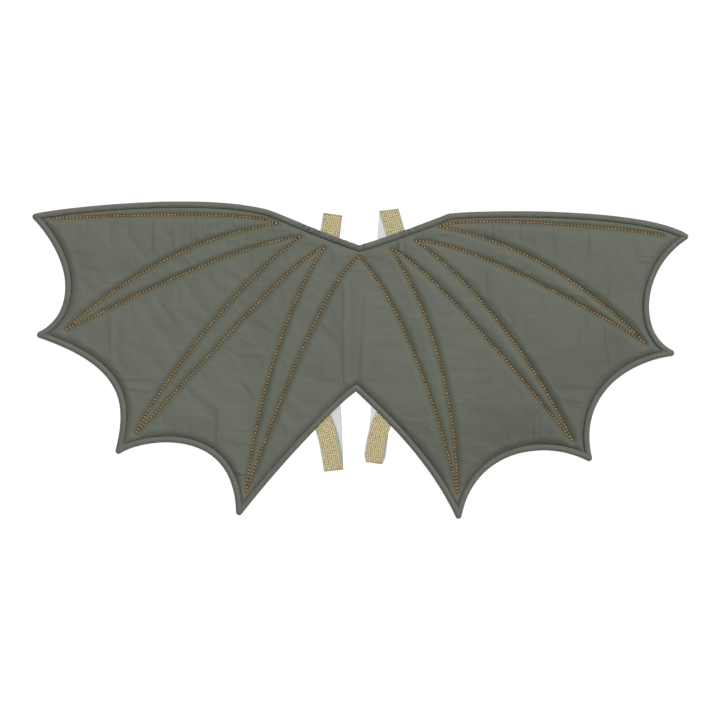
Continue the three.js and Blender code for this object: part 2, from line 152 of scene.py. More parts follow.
# Each end of an arm loop: the edge that catches it, the share of the way along that edge, the outermost
# point of its fold, the ways of its upper and lower layers there in degrees from +X, how far the two
# layers lie aside there in mm, and the width of the fold as a share
LOOPS = {
    "strap_left": [
        ("neck_notch", 0.325, -0.0845, 0.468, 81.5, 81.5, 0, 0, 1),
        ("left_tip_4", 0.733, -0.082, -0.3565, -79.5, -89, 0, 0, 1),
    ],
    "strap_right": [
        ("right_shoulder", 0.595, 0.088, 0.4815, 108.4, 85.2, 0, 0, 1),
        ("back_notch", 0.235, 0.044, -0.3325, -97, -98, -2.0, 0.5, 0.84),
    ],
}
# How far from a fold a loop has its full width again
FOLD_EASE = 0.007

# The photograph shows this width over 720 pixels, from straight above, and this pixel lies over the origin
PHOTO_WIDTH = 0.9329
PIXEL = PHOTO_WIDTH / 720
ORIGIN_PIXEL = 360.35 + 359.55j
# The camera: its place in X, the level at which it frames the photograph's width, its lens and its sensor
CAMERA_X = -0.00046
CAMERA_LEVEL = 0.0045
LENS_MM = 100
SENSOR_MM = 36
FLOOR_HALF = 60.0

# Samples by which a curve is measured, the steps in which the outline is walked for what lies beside it and
# for the panel's net, and the knots of the clouds' net each way
CURVE_SAMPLES = 800
FINE_STEP = 0.3 * MM
OUTLINE_STEP = 1.5 * MM
KNOTS = 96

# Creases of the panel by the photograph's pixels: from, to, width and rise in mm. A crease that rises
# towards the light shows dark, and one that falls shows bright.
CREASES = [
    (88, 217, 88, 234, 3.0, 0.35),
    (108, 217, 108, 247, 3.0, -0.4),
    (130, 217, 130, 238, 3.0, 0.25),
    (155, 217, 153, 251, 3.0, 0.6),
    (174, 217, 174, 250, 3.0, 0.45),
    (191, 226, 191, 240, 2.6, 0.35),
    (197, 206, 197, 240, 2.6, 0.6),
    (203, 214, 203, 236, 2.6, 0.3),
    (209, 214, 209, 236, 2.6, 0.35),
    (219, 204, 219, 237, 3.0, 0.4),
    (229, 231, 229, 243, 2.6, 0.3),
    (247, 226, 247, 238, 2.6, 0.3),
    (110, 314, 110, 350, 3.0, 0.3),
    (160, 301, 178, 325, 7.0, 0.4),
    (126, 344, 138, 344, 3.0, 0.3),
    (343, 287, 344, 386, 2.8, 0.8),
    (349, 286, 349, 380, 3.0, -0.8),
    (364, 301, 360, 380, 3.4, 0.55),
    (323, 344, 323, 380, 3.4, 0.3),
    (360, 297, 370, 297, 3.0, 0.3),
    (374, 307, 384, 307, 3.0, 0.3),
    (407, 418, 429, 418, 3.4, -0.35),
    (426, 427, 433, 434, 3.0, 0.3),
    (398, 240, 399, 258, 2.6, 1.0),
    (405, 241, 406, 259, 2.6, 1.0),
    (410, 243, 410, 257, 2.6, 0.8),
    (393, 241, 393, 252, 2.6, -0.4),
    (486, 229, 486, 238, 2.8, 0.35),
    (493, 222, 493, 237, 2.6, 0.6),
    (516, 223, 516, 239, 3.0, -0.4),
    (521, 223, 521, 239, 3.0, 0.4),
    (535, 235, 535, 248, 3.0, 0.35),
    (555, 235, 555, 254, 3.0, 0.35),
    (589, 232, 589, 250, 3.0, 0.35),
    (614, 249, 624, 260, 3.0, 0.3),
    (484, 267, 484, 294, 3.2, -0.3),
    (636, 257, 653, 257, 2.8, 0.45),
    (637, 262, 652, 263, 2.8, 0.45),
    (563, 276, 563, 283, 3.0, 0.3),
    (570, 296, 580, 296, 3.0, 0.3),
    (604, 326, 608, 361, 3.2, 0.4),
    (587, 315, 587, 330, 3.0, 0.3),
    (579, 332, 579, 348, 3.0, 0.3),
    (126, 380, 149, 380, 3.2, 0.35),
    (126, 388, 149, 392, 3.2, 0.35),
    (175, 422, 175, 434, 3.0, 0.35),
    (191, 426, 191, 437, 3.0, 0.35),
    (217, 406, 217, 445, 3.0, 0.7),
    (241, 339, 253, 347, 5.0, 0.35),
    (239, 355, 264, 356, 3.6, 0.35),
    (240, 378, 250, 393, 6.0, 0.35),
    (231, 430, 247, 430, 3.2, 0.35),
    (224, 439, 239, 444, 3.2, 0.35),
    (235, 473, 247, 475, 2.8, 0.7),
    (240, 492, 251, 493, 2.8, 0.5),
    (479, 369, 487, 369, 3.2, 0.35),
    (484, 386, 504, 386, 3.6, -0.4),
    (540, 358, 549, 358, 3.2, 0.3),
    (563, 386, 588, 388, 6.0, 0.4),
    (566, 401, 576, 401, 3.4, 0.35),
    (528, 410, 528, 431, 3.2, 0.4),
    (534, 418, 534, 442, 3.0, 0.4),
    (540, 420, 540, 438, 3.0, 0.3),
    (447, 466, 458, 468, 2.8, 0.5),
    (449, 474, 462, 476, 2.8, 0.5),
    (452, 482, 464, 483, 2.8, 0.5),
    (458, 459, 465, 461, 2.8, 0.4),
]
# Painted shade: broad places where the cloth is a little darker, standing in for light falling off: pixel,
# how far in mm, and by which share of a fifth
SHADE_PATCHES = [
    (612, 355, 55, 0.65),
    (537, 440, 70, 0.85),
    (438, 455, 60, 0.75),
    (500, 400, 110, 0.2),
]
# Where the piping is wrinkled: pixel, how far along in mm, and how deep in mm
PIPING_WRINKLES = [
    (308, 231, 18, 1.5),
    (338, 241, 18, 1.5),
    (361, 249, 10, 1.0),
    (405, 235, 18, 1.2),
    (670, 231, 16, 0.45),
    (651, 283, 8, 0.4),
    (538, 449, 4, 0.5),
    (460, 470, 14, 0.35),
    (243, 480, 14, 0.35),
]

# The sides of the piping, the most degrees between its rings round a corner, the size of its wrinkles and
# how deep they are everywhere, and the size and height of its slow swelling
PIPING_SIDES = 20
FAN_STEP = 14
WRINKLE_SIZE = 0.0029
WRINKLE_LEAST = 0.1 * MM
SWELL_SIZE = 0.014
SWELL_HEIGHT = 0.1 * MM
# Radius lost in a fold where the painted shade in the piping's folds is at its darkest, and the share of it
# that shows none
FOLD_SHADE_DEPTH = 0.00045
FOLD_UNSEEN = 0.3

# Knit of the elastics: columns of loops across the band, the length of a loop, and how far the loops slant
# towards the middle of their column, as a turn of their wave in radians
WALES = 5
COURSE = 0.0034
SLANT = 3.8
# Section of an elastic: points across a face, share of the width that a hem takes and by how much it is
# thinner, share of the width that the faces reach, thickness of the rounded edges as a share, depth of the
# loops as a share of half the thickness, and the share of that depth on the inner face
BAND_POINTS = 41
HEM = 0.045
HEM_THINNER = 0.25
FACE_END = 0.985
EDGE_THICKNESS = 0.3
KNIT_RELIEF = 0.16
INNER_RELIEF = 0.3
# Painted shade of the seam's valley, tinted brown like the thread, and how far it fades, and the thread's
# painted shade where it dives into the cloth
SEAM_SHADE = (0.05, 0.033, 0.014, 1.0)
NEAR_SEAM_REACH = 0.0009
THREAD_END_SHADE = (0.035, 0.02, 0.006, 1.0)
# The shader's constants of the cotton, the distance between its yarns, and how far the piping's cloth is cut
# aslant, in radians
COTTON = {"Specular IOR Level": 0.2, "Sheen Weight": 0.04, "Sheen Roughness": 0.4}
YARN_PITCH = 0.00055
BIAS = 0.785
# Tints of the cloth beside the thread, of the painted shade patches, and of the painted shade in the
# piping's folds
BESIDE_THREAD = (1.1, 1.0, 0.88, 1.0)
SHADE_PATCH_TINT = (0.8, 0.8, 0.8, 1.0)
FOLD_SHADE_TINT = (0.4, 0.4, 0.45, 1.0)
# The threads of a seam, above, below and across a needle hole, the last coloured as painted shadow of the
# hole: how far from the pressed cloth, length, width and thickness as shares of the stitch's length (of its
# width at a hole) and width, and how high it arches
UPPER_THREAD = (0.55 * MM, 0.88, 1.0, 0.8, 0.5 * MM)
LOWER_THREAD = (0.05 * MM, 0.93, 0.6, 0.4, 0.12 * MM)
HOLE_SHADOW_THREAD = (0.55 * MM, 1.5, 0.75, 0.5, 0)
# How far a stitch turns off its seam, how much that varies, and how far the thread at a hole does, in degrees
ASKEW = 12
ASKEW_SPREAD = 4
HOLE_TURN = 75
# Height of the piping's upper half as a share of its radius
PIPING_FLATNESS = 0.8
# How far the stitches pull the seams, and the piping the edge, below the middle of the panel
SEAM_SINK = 0.00205
EDGE_SINK = 0.0011
# How far the one passes into the other, and how much shallower the groove beside the piping is along the
# upper edges, as a share
SINK_BLEND = 0.008
UPPER_EASE = 0.75
# How much longer the padding's rise is on the right wing than in the middle, as a share, and from where
RIGHT_LONGER = 0.08
RIGHT_FROM = 0.05
# The share of the full padding at the roots of the seams, and how far from them it is full
ROOT_ROOM = 0.6
ROOT_REACH = 0.09
# The panel's net: how far from the edge and from a seam a spot looks for it, and where the net begins, in
# steps off its corner
EDGE_SEARCH = 0.02
SEAM_SEARCH = 0.016
NET_OFFSET = 0.31 + 0.27j
# A ridge of the padding lies where the distance to the pressed lines has a lower slope than this, from this
# far off the lines. It is spread by the first number of blends and smoothed by the second.
RIDGE_SLOPE = 0.9
RIDGE_FROM = 0.002
RIDGE_SPREAD = 8
RIDGE_BLENDS = 14
# How far off the pressed lines the cloth is free, and how soon the puckers begin
FREE_FROM = 0.004
PUCKER_START = 1.2 * MM
# Slow waves: height in mm and size of the two on the upper face and of the one below
WAVE = (0.2, 46 * MM)
RIPPLE = (0.1, 19 * MM)
UNDER_WAVE = (0.25, 24 * MM)
LEAST_THICKNESS = 0.8 * MM
# Puckers of the cloth: their size along a seam and by the edge, how far they reach from them, how high they
# stand in mm above and below, their share everywhere by the edge, and how much deeper they are there for
# each mm of depth of the piping's wrinkles
SEAM_PUCKER_SIZE = 0.0046
EDGE_PUCKER_SIZE = 0.006
SEAM_PUCKER_REACH = 0.005
EDGE_PUCKER_REACH = 0.004
PUCKER_ABOVE = 0.3
PUCKER_BELOW = 0.17
EDGE_PUCKER_LEAST = 0.7
PULLED = 2.2
# What the creases' listed rises are multiplied by, and the share of it on the pressed lines
CREASE_SCALE = 1.9
CREASE_PRESSED = 0.35
# How far a crease wanders aside, the size of its bends, how far it fades at its ends, and how slowly it dies
# away beyond its step, in widths
CREASE_WANDER = 0.0006
CREASE_BEND = 0.009
CREASE_FADE = 0.006
CREASE_TAIL = 1.8
# The settling cloth: what lies this near a seam or the edge is held, no point moves farther than the cap, and
# the moves count from one distance to the stitches and in full from another
SETTLE_HOLD = 0.0025
SETTLE_FROM = 0.002
SETTLE_EASE = 0.007
SETTLE_FRAMES = 16
SETTLE_CAP = 0.003
# How the key light falls in plan, from the picture's upper right
LIGHT_AZIMUTH = 55
# The lights: azimuth, elevation and apparent size in degrees. The loops have their own, from the left.
LIGHTS = {
    "key": (LIGHT_AZIMUTH, 65, 35),
    "loop_light": (165, 76, 70),
}
# A light's share of the light on a level surface
KEY_SHARE = 0.88


# Plan geometry


def turn(degrees):
    """The complex number that turns a way by degrees, anticlockwise."""
    return np.exp(1j * np.radians(degrees))


def smooth(share):
    """Rises from 0 to 1 with level ends: three times the square less twice the cube, between 0 and 1."""
    share = np.clip(share, 0, 1)
    return share * share * (3 - 2 * share)


def place(name):
    """A named place in plan, before the shift that centres the wings."""
    return complex(PLACES[name][0] * REACH_X, PLACES[name][1] * REACH_Y)


def bowed_curve(start, end, turn_out, reach_out, turn_in, reach_in):
    """The four control points of a cubic curve between two named places."""
    start, end = place(start), place(end)
    chord = end - start
    first = start + chord * turn(turn_out) * reach_out
    second = end - chord * turn(-turn_in) * reach_in
    return np.array([start, first, second, end]) + SHIFT


def band_curve(start, way_out, end, way_in):
    """A cubic curve that leaves start along way_out and reaches end along way_in, without a bulge."""
    handle = abs(end - start) / 3
    return np.array([start, start + way_out * handle, end - way_in * handle, end])


def on_curve(curve, share):
    """Points of a cubic curve at shares of its parameter, by the sum of its Bernstein parts."""
    a, b, c, d = curve
    rest = 1 - share
    return rest**3 * a + 3 * rest**2 * share * b + 3 * rest * share**2 * c + share**3 * d


def walk(curve, step):
    """Points at equal distances of about step along a cubic curve, the unit ways there and the distances.

    The curve is sampled finely, its chords are summed, and the sums are turned round by interpolation.
    """
    share = np.linspace(0, 1, CURVE_SAMPLES)
    fine = on_curve(curve, share)
    travelled = np.concatenate([[0], np.cumsum(np.abs(np.diff(fine)))])
    count = max(2, int(np.ceil(travelled[-1] / step)) + 1)
    distance = np.linspace(0, travelled[-1], count)
    share = np.interp(distance, travelled, share)
    a, b, c, d = curve
    rest = 1 - share
    way = rest**2 * (b - a) + 2 * rest * share * (c - b) + share**2 * (d - c)
    return on_curve(curve, share), way / np.abs(way), distance


def centring_shift():
    """How far the tables' outline moves so that its box is centred where the frame's piping is."""
    line = np.concatenate([walk(bowed_curve(*edge), MM)[0] for edge in EDGES])
    low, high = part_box("edge_piping")
    middle = complex(line.real.max() + line.real.min(), line.imag.max() + line.imag.min()) / 2
    return complex(low.x + high.x, low.y + high.y) / 2 - middle


SHIFT = 0
SHIFT = centring_shift()
EDGE_CURVES = [bowed_curve(*edge) for edge in EDGES]
SEAM_CURVES = [bowed_curve(*seam) for seam in SEAMS]


def from_pixel(x, y):
    """The place in plan that a pixel of the photograph shows."""
    away = complex(x, y) - ORIGIN_PIXEL
    return away.conjugate() * PIXEL + SHIFT


def in_space(plan, height):
    """Points in space, from places in plan and heights."""
    return np.stack(np.broadcast_arrays(plan.real, plan.imag, height), -1)


def bells(spots, table):
    """Sum of round bells: a row of the table has a pixel, the reach in mm and the value at the middle."""
    total = np.zeros(spots.shape)
    for x, y, reach, value in table:
        total += value * np.exp(-((np.abs(spots - from_pixel(x, y)) / (reach * MM)) ** 2))
    return total


def middle_height(x):
    """Height of the middle of the panel: raised over the arm loops, and falling smoothly on both sides."""
    return MID_HEIGHT + LIFT * smooth((RAISED + LIFT_FALL - np.abs(x)) / LIFT_FALL)


def cloudy(x, y, size, seed):
    """Smooth random relief from -1 to 1: seeded random values at the knots of a square net whose mesh is
    size wide, blended between the knots by the smooth share of the way."""
    net = np.random.default_rng(seed).uniform(-1, 1, (KNOTS, KNOTS))
    u, v = x / size, y / size
    i, j = np.floor(u).astype(int), np.floor(v).astype(int)
    across, up = smooth(u - i), smooth(v - j)
    i, j = i % KNOTS, j % KNOTS
    k, m = (i + 1) % KNOTS, (j + 1) % KNOTS
    lower = net[j, i] * (1 - across) + net[j, k] * across
    upper = net[m, i] * (1 - across) + net[m, k] * across
    return lower * (1 - up) + upper * up


# Meshes


def fill_mesh(name, points, faces, finishes, finish_of_face=None, coordinates=None, caps=()):
    """A mesh object from arrays: points, smooth faces of three or four corners, the finishes, the number of
    each face's finish, for each corner of each face its place on the surface (UV), and flat end faces."""
    mesh = bpy.data.meshes.new(name)
    mesh.from_pydata(points.tolist(), [], faces.tolist() + [cap.tolist() for cap in caps])
    for finish in finishes:
        mesh.materials.append(finish)
    if finish_of_face is not None:
        mesh.polygons.foreach_set("material_index", finish_of_face.astype(np.int32))
    if coordinates is not None:
        layer = mesh.uv_layers.new(name="surface")
        layer.data.foreach_set("uv", coordinates.astype(np.float32).ravel())
    mesh.polygons.foreach_set("use_smooth", np.arange(len(mesh.polygons)) < len(faces))
    mesh.update()
    thing = bpy.data.objects.new(name, mesh)
    bpy.context.scene.collection.objects.link(thing)
    return thing


def add_values(mesh, name, values):
    """A number for each point of the mesh, which its finish can read by name."""
    layer = mesh.attributes.new(name, "FLOAT", "POINT")
    layer.data.foreach_set("value", values.astype(np.float32))


def dress(thing, slot, *nodes):
    """The piece rides on the wings' one body and stands for the nodes, which are hidden. It is lit by the
    light of its own kind, which the slot tells, once the stage is set."""
    lit = bpy.data.collections.get("loop_light" if slot == "elastic" else "key")
    if lit:
        lit.objects.link(thing)
    if nodes:
        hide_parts(*nodes)
    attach(thing, BODY)
    return thing


def net_faces(rings, sides, round_along):
    """Faces of a net of rings that close on themselves, as rows of four corner numbers."""
    last = rings if round_along else rings - 1
    i = np.arange(last)[:, None]
    k = np.arange(sides)[None, :]
    a = i * sides + k
    b = i * sides + (k + 1) % sides
    c = (i + 1) % rings * sides + (k + 1) % sides
    d = (i + 1) % rings * sides + k
    return np.stack(np.broadcast_arrays(a, b, c, d), axis=-1).reshape(-1, 4)


# The quilted panel


def near_lines(spots, corner, step, starts, ends, reach):
    """For each spot of a grid, the distance to the nearest segment within reach, that segment's number and
    the share of the way along it. Each segment looks at the square of spots round it, and the nearest
    segment is written last: the distance is to the foot of the perpendicular, kept on the segment."""
    rows, columns = spots.shape
    middle = (starts + ends) / 2
    wide = int(np.ceil((reach + np.abs(ends - starts).max()) / step)) + 1
    window = np.arange(-wide, wide + 1)
    i = np.rint((middle.real - corner.real) / step).astype(int)[:, None, None] + window[None, None, :]
    j = np.rint((middle.imag - corner.imag) / step).astype(int)[:, None, None] + window[None, :, None]
    i, j = np.broadcast_arrays(i, j)
    within = (i >= 0) & (i < columns) & (j >= 0) & (j < rows)
    number = np.broadcast_to(np.arange(len(starts))[:, None, None], i.shape)[within]
    cell = (j * columns + i)[within]
    side = (ends - starts)[number]
    away = spots.ravel()[cell] - starts[number]
    share = np.clip((away * side.conj()).real / np.abs(side) ** 2, 0, 1)
    distance = np.abs(away - share * side)
    order = np.argsort(-distance)
    least = np.full(spots.size, np.inf)
    nearest = np.zeros(spots.size, int)
    shares = np.zeros(spots.size)
    least[cell[order]] = distance[order]
    nearest[cell[order]] = number[order]
    shares[cell[order]] = share[order]
    return least.reshape(spots.shape), nearest.reshape(spots.shape), shares.reshape(spots.shape)


def inside_loop(corner, step, shape, loop):
    """Which spots of a grid lie inside a closed line: each row counts the crossings to its left."""
    rows, columns = shape
    after = np.roll(loop, -1)
    y = corner.imag + step * np.arange(rows)
    row, number = np.nonzero((loop.imag[None, :] > y[:, None]) != (after.imag[None, :] > y[:, None]))
    share = (y[row] - loop.imag[number]) / (after.imag - loop.imag)[number]
    x = (loop[number] + share * (after - loop)[number]).real
    column = np.clip(np.ceil((x - corner.real) / step).astype(int), 0, columns)
    crossings = np.zeros((rows, columns + 1), int)
    np.add.at(crossings, (row, column), 1)
    return np.cumsum(crossings, axis=1)[:, :-1] % 2 == 1


def seam_segments(step):
    """Starts and ends of the seams' short segments, the seam each belongs to, its distance along and way."""
    starts, ends, seam, travelled, ways = [], [], [], [], []
    for number, curve in enumerate(SEAM_CURVES):
        points, way, distance = walk(curve, step)
        starts.append(points[:-1])
        ends.append(points[1:])
        seam.append(np.full(len(points) - 1, number))
        travelled.append(distance[:-1])
        ways.append(way[:-1])
    return [np.concatenate(part) for part in (starts, ends, seam, travelled, ways)]


def quilt_grid(step, inset):
    """The panel's grid in plan. Spots next to the outline and to a seam move onto it, so that the edge and
    the valleys run along edges of the mesh. Gives the spots, which of them are kept, the line that each
    lies on (-1 for none), distances to the edge and the nearest seam, and the seam's number and reach."""
    corner = complex(-SPAN / 2 - 3 * step, -HEIGHT / 2 - 3 * step) + NET_OFFSET * step
    columns = int(np.ceil(SPAN / step)) + 6
    rows = int(np.ceil(HEIGHT / step)) + 6
    spots = corner + step * (np.arange(columns)[None, :] + 1j * np.arange(rows)[:, None])
    loop = np.concatenate([walk(curve, OUTLINE_STEP)[0][:-1] for curve in EDGE_CURVES])
    loop_ends = np.roll(loop, -1)
    inside = inside_loop(corner, step, spots.shape, loop)
    distance, number, share = near_lines(spots, corner, step, loop, loop_ends, EDGE_SEARCH)
    foot = loop[number] + share * (loop_ends - loop)[number]
    depth = np.where(inside, distance, -distance)
    near = np.isfinite(depth)
    inward = np.where(near, spots - foot, 1)
    inward = inward / np.maximum(np.abs(inward), 1e-9) * np.where(inside, 1, -1)
    give = 0.5 * step * np.maximum(np.abs(inward.real), np.abs(inward.imag))
    tips = np.array([curve[0] for curve, edge in zip(EDGE_CURVES, EDGES) if "_tip_" in edge[0]])
    to_tip = np.abs(spots[..., None] - tips).min(-1)
    inset = inset - TIP_TUCK * smooth((TIP_REACH - to_tip) / TIP_EASE)
    on_edge = near & (np.abs(depth - inset) <= give)
    kept = (depth >= inset - give) & inside
    on_edge &= inside
    spots = np.where(on_edge, spots + inward * (inset - np.where(near, depth, 0)), spots)
    starts, ends, seam, travelled, ways = seam_segments(MM)
    grid_spots = spots.copy()
    distance, number, share = near_lines(spots, corner, step, starts, ends, SEAM_SEARCH)
    give = 0.5 * step * np.maximum(np.abs(ways[number].real), np.abs(ways[number].imag))
    on_seam = (distance <= give) & kept & ~on_edge
    spots = np.where(on_seam, starts[number] + share * (ends - starts)[number], spots)
    line = np.where(on_edge, len(SEAMS), np.where(on_seam, seam[number], -1))
    spots, line = undo_overturned(spots, grid_spots, line, step)
    depth = np.where(kept, near_lines(spots, corner, step, loop, loop_ends, EDGE_SEARCH)[0], 0)
    distance, number, share = near_lines(spots, corner, step, starts, ends, SEAM_SEARCH)
    along = travelled[number] + share * np.abs(ends - starts)[number]
    return spots, kept, line, depth, distance, seam[number], along


def corner_views(grid):
    """The four corners of each cell of a grid: lower left, lower right, upper right and upper left."""
    return grid[:-1, :-1], grid[:-1, 1:], grid[1:, 1:], grid[1:, :-1]


def plan_area(a, b, c):
    """Twice the area of triangles in plan, positive where they run anticlockwise."""
    return ((b - a).conj() * (c - a)).imag


def undo_overturned(spots, grid_spots, line, step):
    """Puts moved spots back where a cell would turn over or go flat."""
    a, b, c, d = corner_views(spots)
    least = 0.04 * step * step
    bad = np.zeros(a.shape, bool)
    for corners in ((a, b, c), (a, c, d), (a, b, d), (b, c, d)):
        bad |= plan_area(*corners) < -least
    touched = np.zeros(spots.shape, bool)
    for view in corner_views(touched):
        view |= bad
    back = touched & (line >= 0) & (line < len(SEAMS))
    return np.where(back, grid_spots, spots), np.where(back, -1, line)


def quilt_faces(spots, kept, line, height):
    """Triangles of the grid. A cell is cut along the line that it holds, or along its more level diagonal,
    and a triangle stays where its three corners are kept."""
    rows, columns = spots.shape
    index = np.arange(rows * columns).reshape(rows, columns)
    a, b, c, d = corner_views(index)
    la, lb, lc, ld = corner_views(line)
    ka, kb, kc, kd = corner_views(kept)
    za, zb, zc, zd = corner_views(height)
    rising = np.abs(za - zc) <= np.abs(zb - zd)
    holds_rising = (la == lc) & (la >= 0)
    holds_falling = (lb == ld) & (lb >= 0)
    rising = np.where(holds_rising & ~holds_falling, True, rising)
    rising = np.where(holds_falling & ~holds_rising, False, rising)
    rising = np.where(~kb | ~kd, True, rising)
    rising = np.where((~ka | ~kc) & kb & kd, False, rising)
    first = np.where(rising[..., None], np.stack([a, b, c], -1), np.stack([a, b, d], -1)).reshape(-1, 3)
    second = np.where(rising[..., None], np.stack([a, c, d], -1), np.stack([b, c, d], -1)).reshape(-1, 3)
    faces = np.concatenate([first, second])
    flat_kept, flat_line = kept.ravel(), line.ravel()
    sliver = plan_area(*spots.ravel()[faces].T) < 0.25 * abs(spots[0, 1] - spots[0, 0]) ** 2
    good = flat_kept[faces].all(1) & ~((flat_line[faces] == len(SEAMS)).all(1) & sliver)
    return faces[good]


def open_edges(faces, count):
    """The edges that only one of the triangles has, each in that triangle's direction."""
    edges = np.concatenate([faces[:, [0, 1]], faces[:, [1, 2]], faces[:, [2, 0]]])
    forward = edges[:, 0].astype(np.int64) * count + edges[:, 1]
    backward = edges[:, 1].astype(np.int64) * count + edges[:, 0]
    return edges[~np.isin(forward, backward)]


def soften(height, weight, passes):
    """Blends each height with the mean of its four neighbours, by its weight, so many times over."""
    for _ in range(passes):
        mean = (
            np.roll(height, 1, 0) + np.roll(height, -1, 0) + np.roll(height, 1, 1) + np.roll(height, -1, 1)
        ) / 4
        height = height + weight * (mean - height)
    return height


def crease_relief(spots):
    """The creases and tucks: across its line each one rises like a smooth step towards the light and dies
    away beyond it by an exponential, and along its line it fades in and out."""
    relief = np.zeros(spots.shape)
    light = turn(LIGHT_AZIMUTH)
    for x0, y0, x1, y1, width, rise in CREASES:
        start, end = from_pixel(x0, y0), from_pixel(x1, y1)
        length = abs(end - start)
        way = (end - start) / length
        side = 1j * way
        if (side * light.conjugate()).real < 0:
            side = -side
        away = spots - start
        along = (away * way.conjugate()).real
        wander = CREASE_WANDER * cloudy(along, along * 0 + x0 * MM, CREASE_BEND, 5)
        across = ((away * np.conj(side)).real + wander) / (width * MM)
        fade = min(length / 2, CREASE_FADE)
        ends = smooth((along + fade) / (2 * fade)) * smooth((length + fade - along) / (2 * fade))
        tail = np.exp(-np.maximum(0, across - 0.5) / CREASE_TAIL)
        relief += rise * MM * ends * smooth(across + 0.5) * tail
    return relief


def padding_share(spots, edge, distance, sizes):
    """Share of the full padding. It rises from the pressed lines in a parabola, steep at the stitches and
    level at the crown, a little shorter on the left wing. Near the roots of the seams there is less room
    for the filling, and the rises are shorter and lower."""
    roots = np.array([place(name) + SHIFT for name in PLACES if "root" in name])
    room = smooth(np.abs(spots[..., None] - roots).min(-1) / ROOT_REACH)
    room = ROOT_ROOM + (1 - ROOT_ROOM) * room
    reach = sizes.puff_reach * (1 + RIGHT_LONGER * np.clip(spots.real / RIGHT_FROM, -1, 1)) * room
    from_seam = 1 - (1 - np.minimum(1, distance / reach)) ** 2
    from_edge = 1 - (1 - np.minimum(1, edge / sizes.edge_reach)) ** 2
    return room * np.minimum(from_seam, from_edge)


def pressed_sink(depth, edge, distance):
    """How far the pressed lines lie below the middle of the panel, by the nearer kind of line. An upper edge
    is known by the way in which the depth grows there, which is towards -Y."""
    northward, eastward = np.gradient(np.minimum(depth, 1))
    upper_edge = smooth(-northward / np.maximum(np.hypot(northward, eastward), 1e-9))
    edge_sink = EDGE_SINK * (1 - UPPER_EASE * upper_edge)
    return SEAM_SINK + (edge_sink - SEAM_SINK) * smooth((distance - edge) / SINK_BLEND + 0.5)


def pucker_relief(spots, edge, distance, seam, along):
    """Puckers across the seams and beside the edge, from -1 to 1 and more: clouds that die away from the
    stitches by an exponential, and are deeper where the piping is wrinkled."""
    x, y = spots.real, spots.imag
    by_seam = np.exp(-distance / SEAM_PUCKER_REACH)
    by_edge = np.exp(-np.clip(edge, 0, 1) / EDGE_PUCKER_REACH)
    beside = seam * 7.3 * MM + 0.3 * distance.clip(0, 0.02)
    pulled = EDGE_PUCKER_LEAST + PULLED * bells(spots, PIPING_WRINKLES)
    pucker = cloudy(along, beside, SEAM_PUCKER_SIZE, 11) * by_seam
    return pucker + pulled * cloudy(x + y, x - y, EDGE_PUCKER_SIZE, 12) * by_edge


def quilt_heights(spots, depth, distance, seam, along, sizes):
    """Heights of the panel's two faces: half the thickness by its share of the padding, then the puckers, a
    slow wave and the creases. The ridges where two rises meet are smoothed: there the distance to the
    nearest line has a slope below one."""
    edge = np.clip(np.minimum(depth, 1) - PIPING_RADIUS, 0, None)
    distance = np.minimum(distance, 1)
    pressed = np.minimum(edge, distance)
    x, y = spots.real, spots.imag
    risen = padding_share(spots, edge, distance, sizes)
    sink = pressed_sink(depth, edge, distance)
    valley = sizes.seam_thickness / 2
    crown = sizes.pad_thickness / 2
    upper = valley - sink + (crown - valley + sink) * risen
    under = valley + sink + (crown - valley - sink) * risen
    slope = np.hypot(*np.gradient(pressed, sizes.cloth_step))
    ridge = np.where(pressed > RIDGE_FROM, np.clip(RIDGE_SLOPE - slope, 0, 1), 0)
    ridge = np.clip(3 * soften(ridge, 1, RIDGE_SPREAD), 0, 0.9) * smooth(pressed / RIDGE_FROM - 0.75)
    upper = soften(upper, ridge, RIDGE_BLENDS)
    free = smooth(pressed / FREE_FROM)
    inner = 1 - np.exp(-pressed / PUCKER_START)
    pucker = pucker_relief(spots, edge, distance, seam, along)
    wave = WAVE[0] * cloudy(x, y, WAVE[1], 13) + RIPPLE[0] * cloudy(x + 0.4 * y, y, RIPPLE[1], 14)
    sag = UNDER_WAVE[0] * free * (1 + cloudy(x, y, UNDER_WAVE[1], 15))
    upper += MM * (PUCKER_ABOVE * pucker * inner + wave * free)
    loose = CREASE_PRESSED + (1 - CREASE_PRESSED) * free
    upper += sizes.crease_depth * crease_relief(spots) * loose * CREASE_SCALE
    under -= MM * (PUCKER_BELOW * np.abs(pucker) * inner + sag)
    middle = middle_height(x)
    return middle + np.maximum(upper, LEAST_THICKNESS - under), middle - under


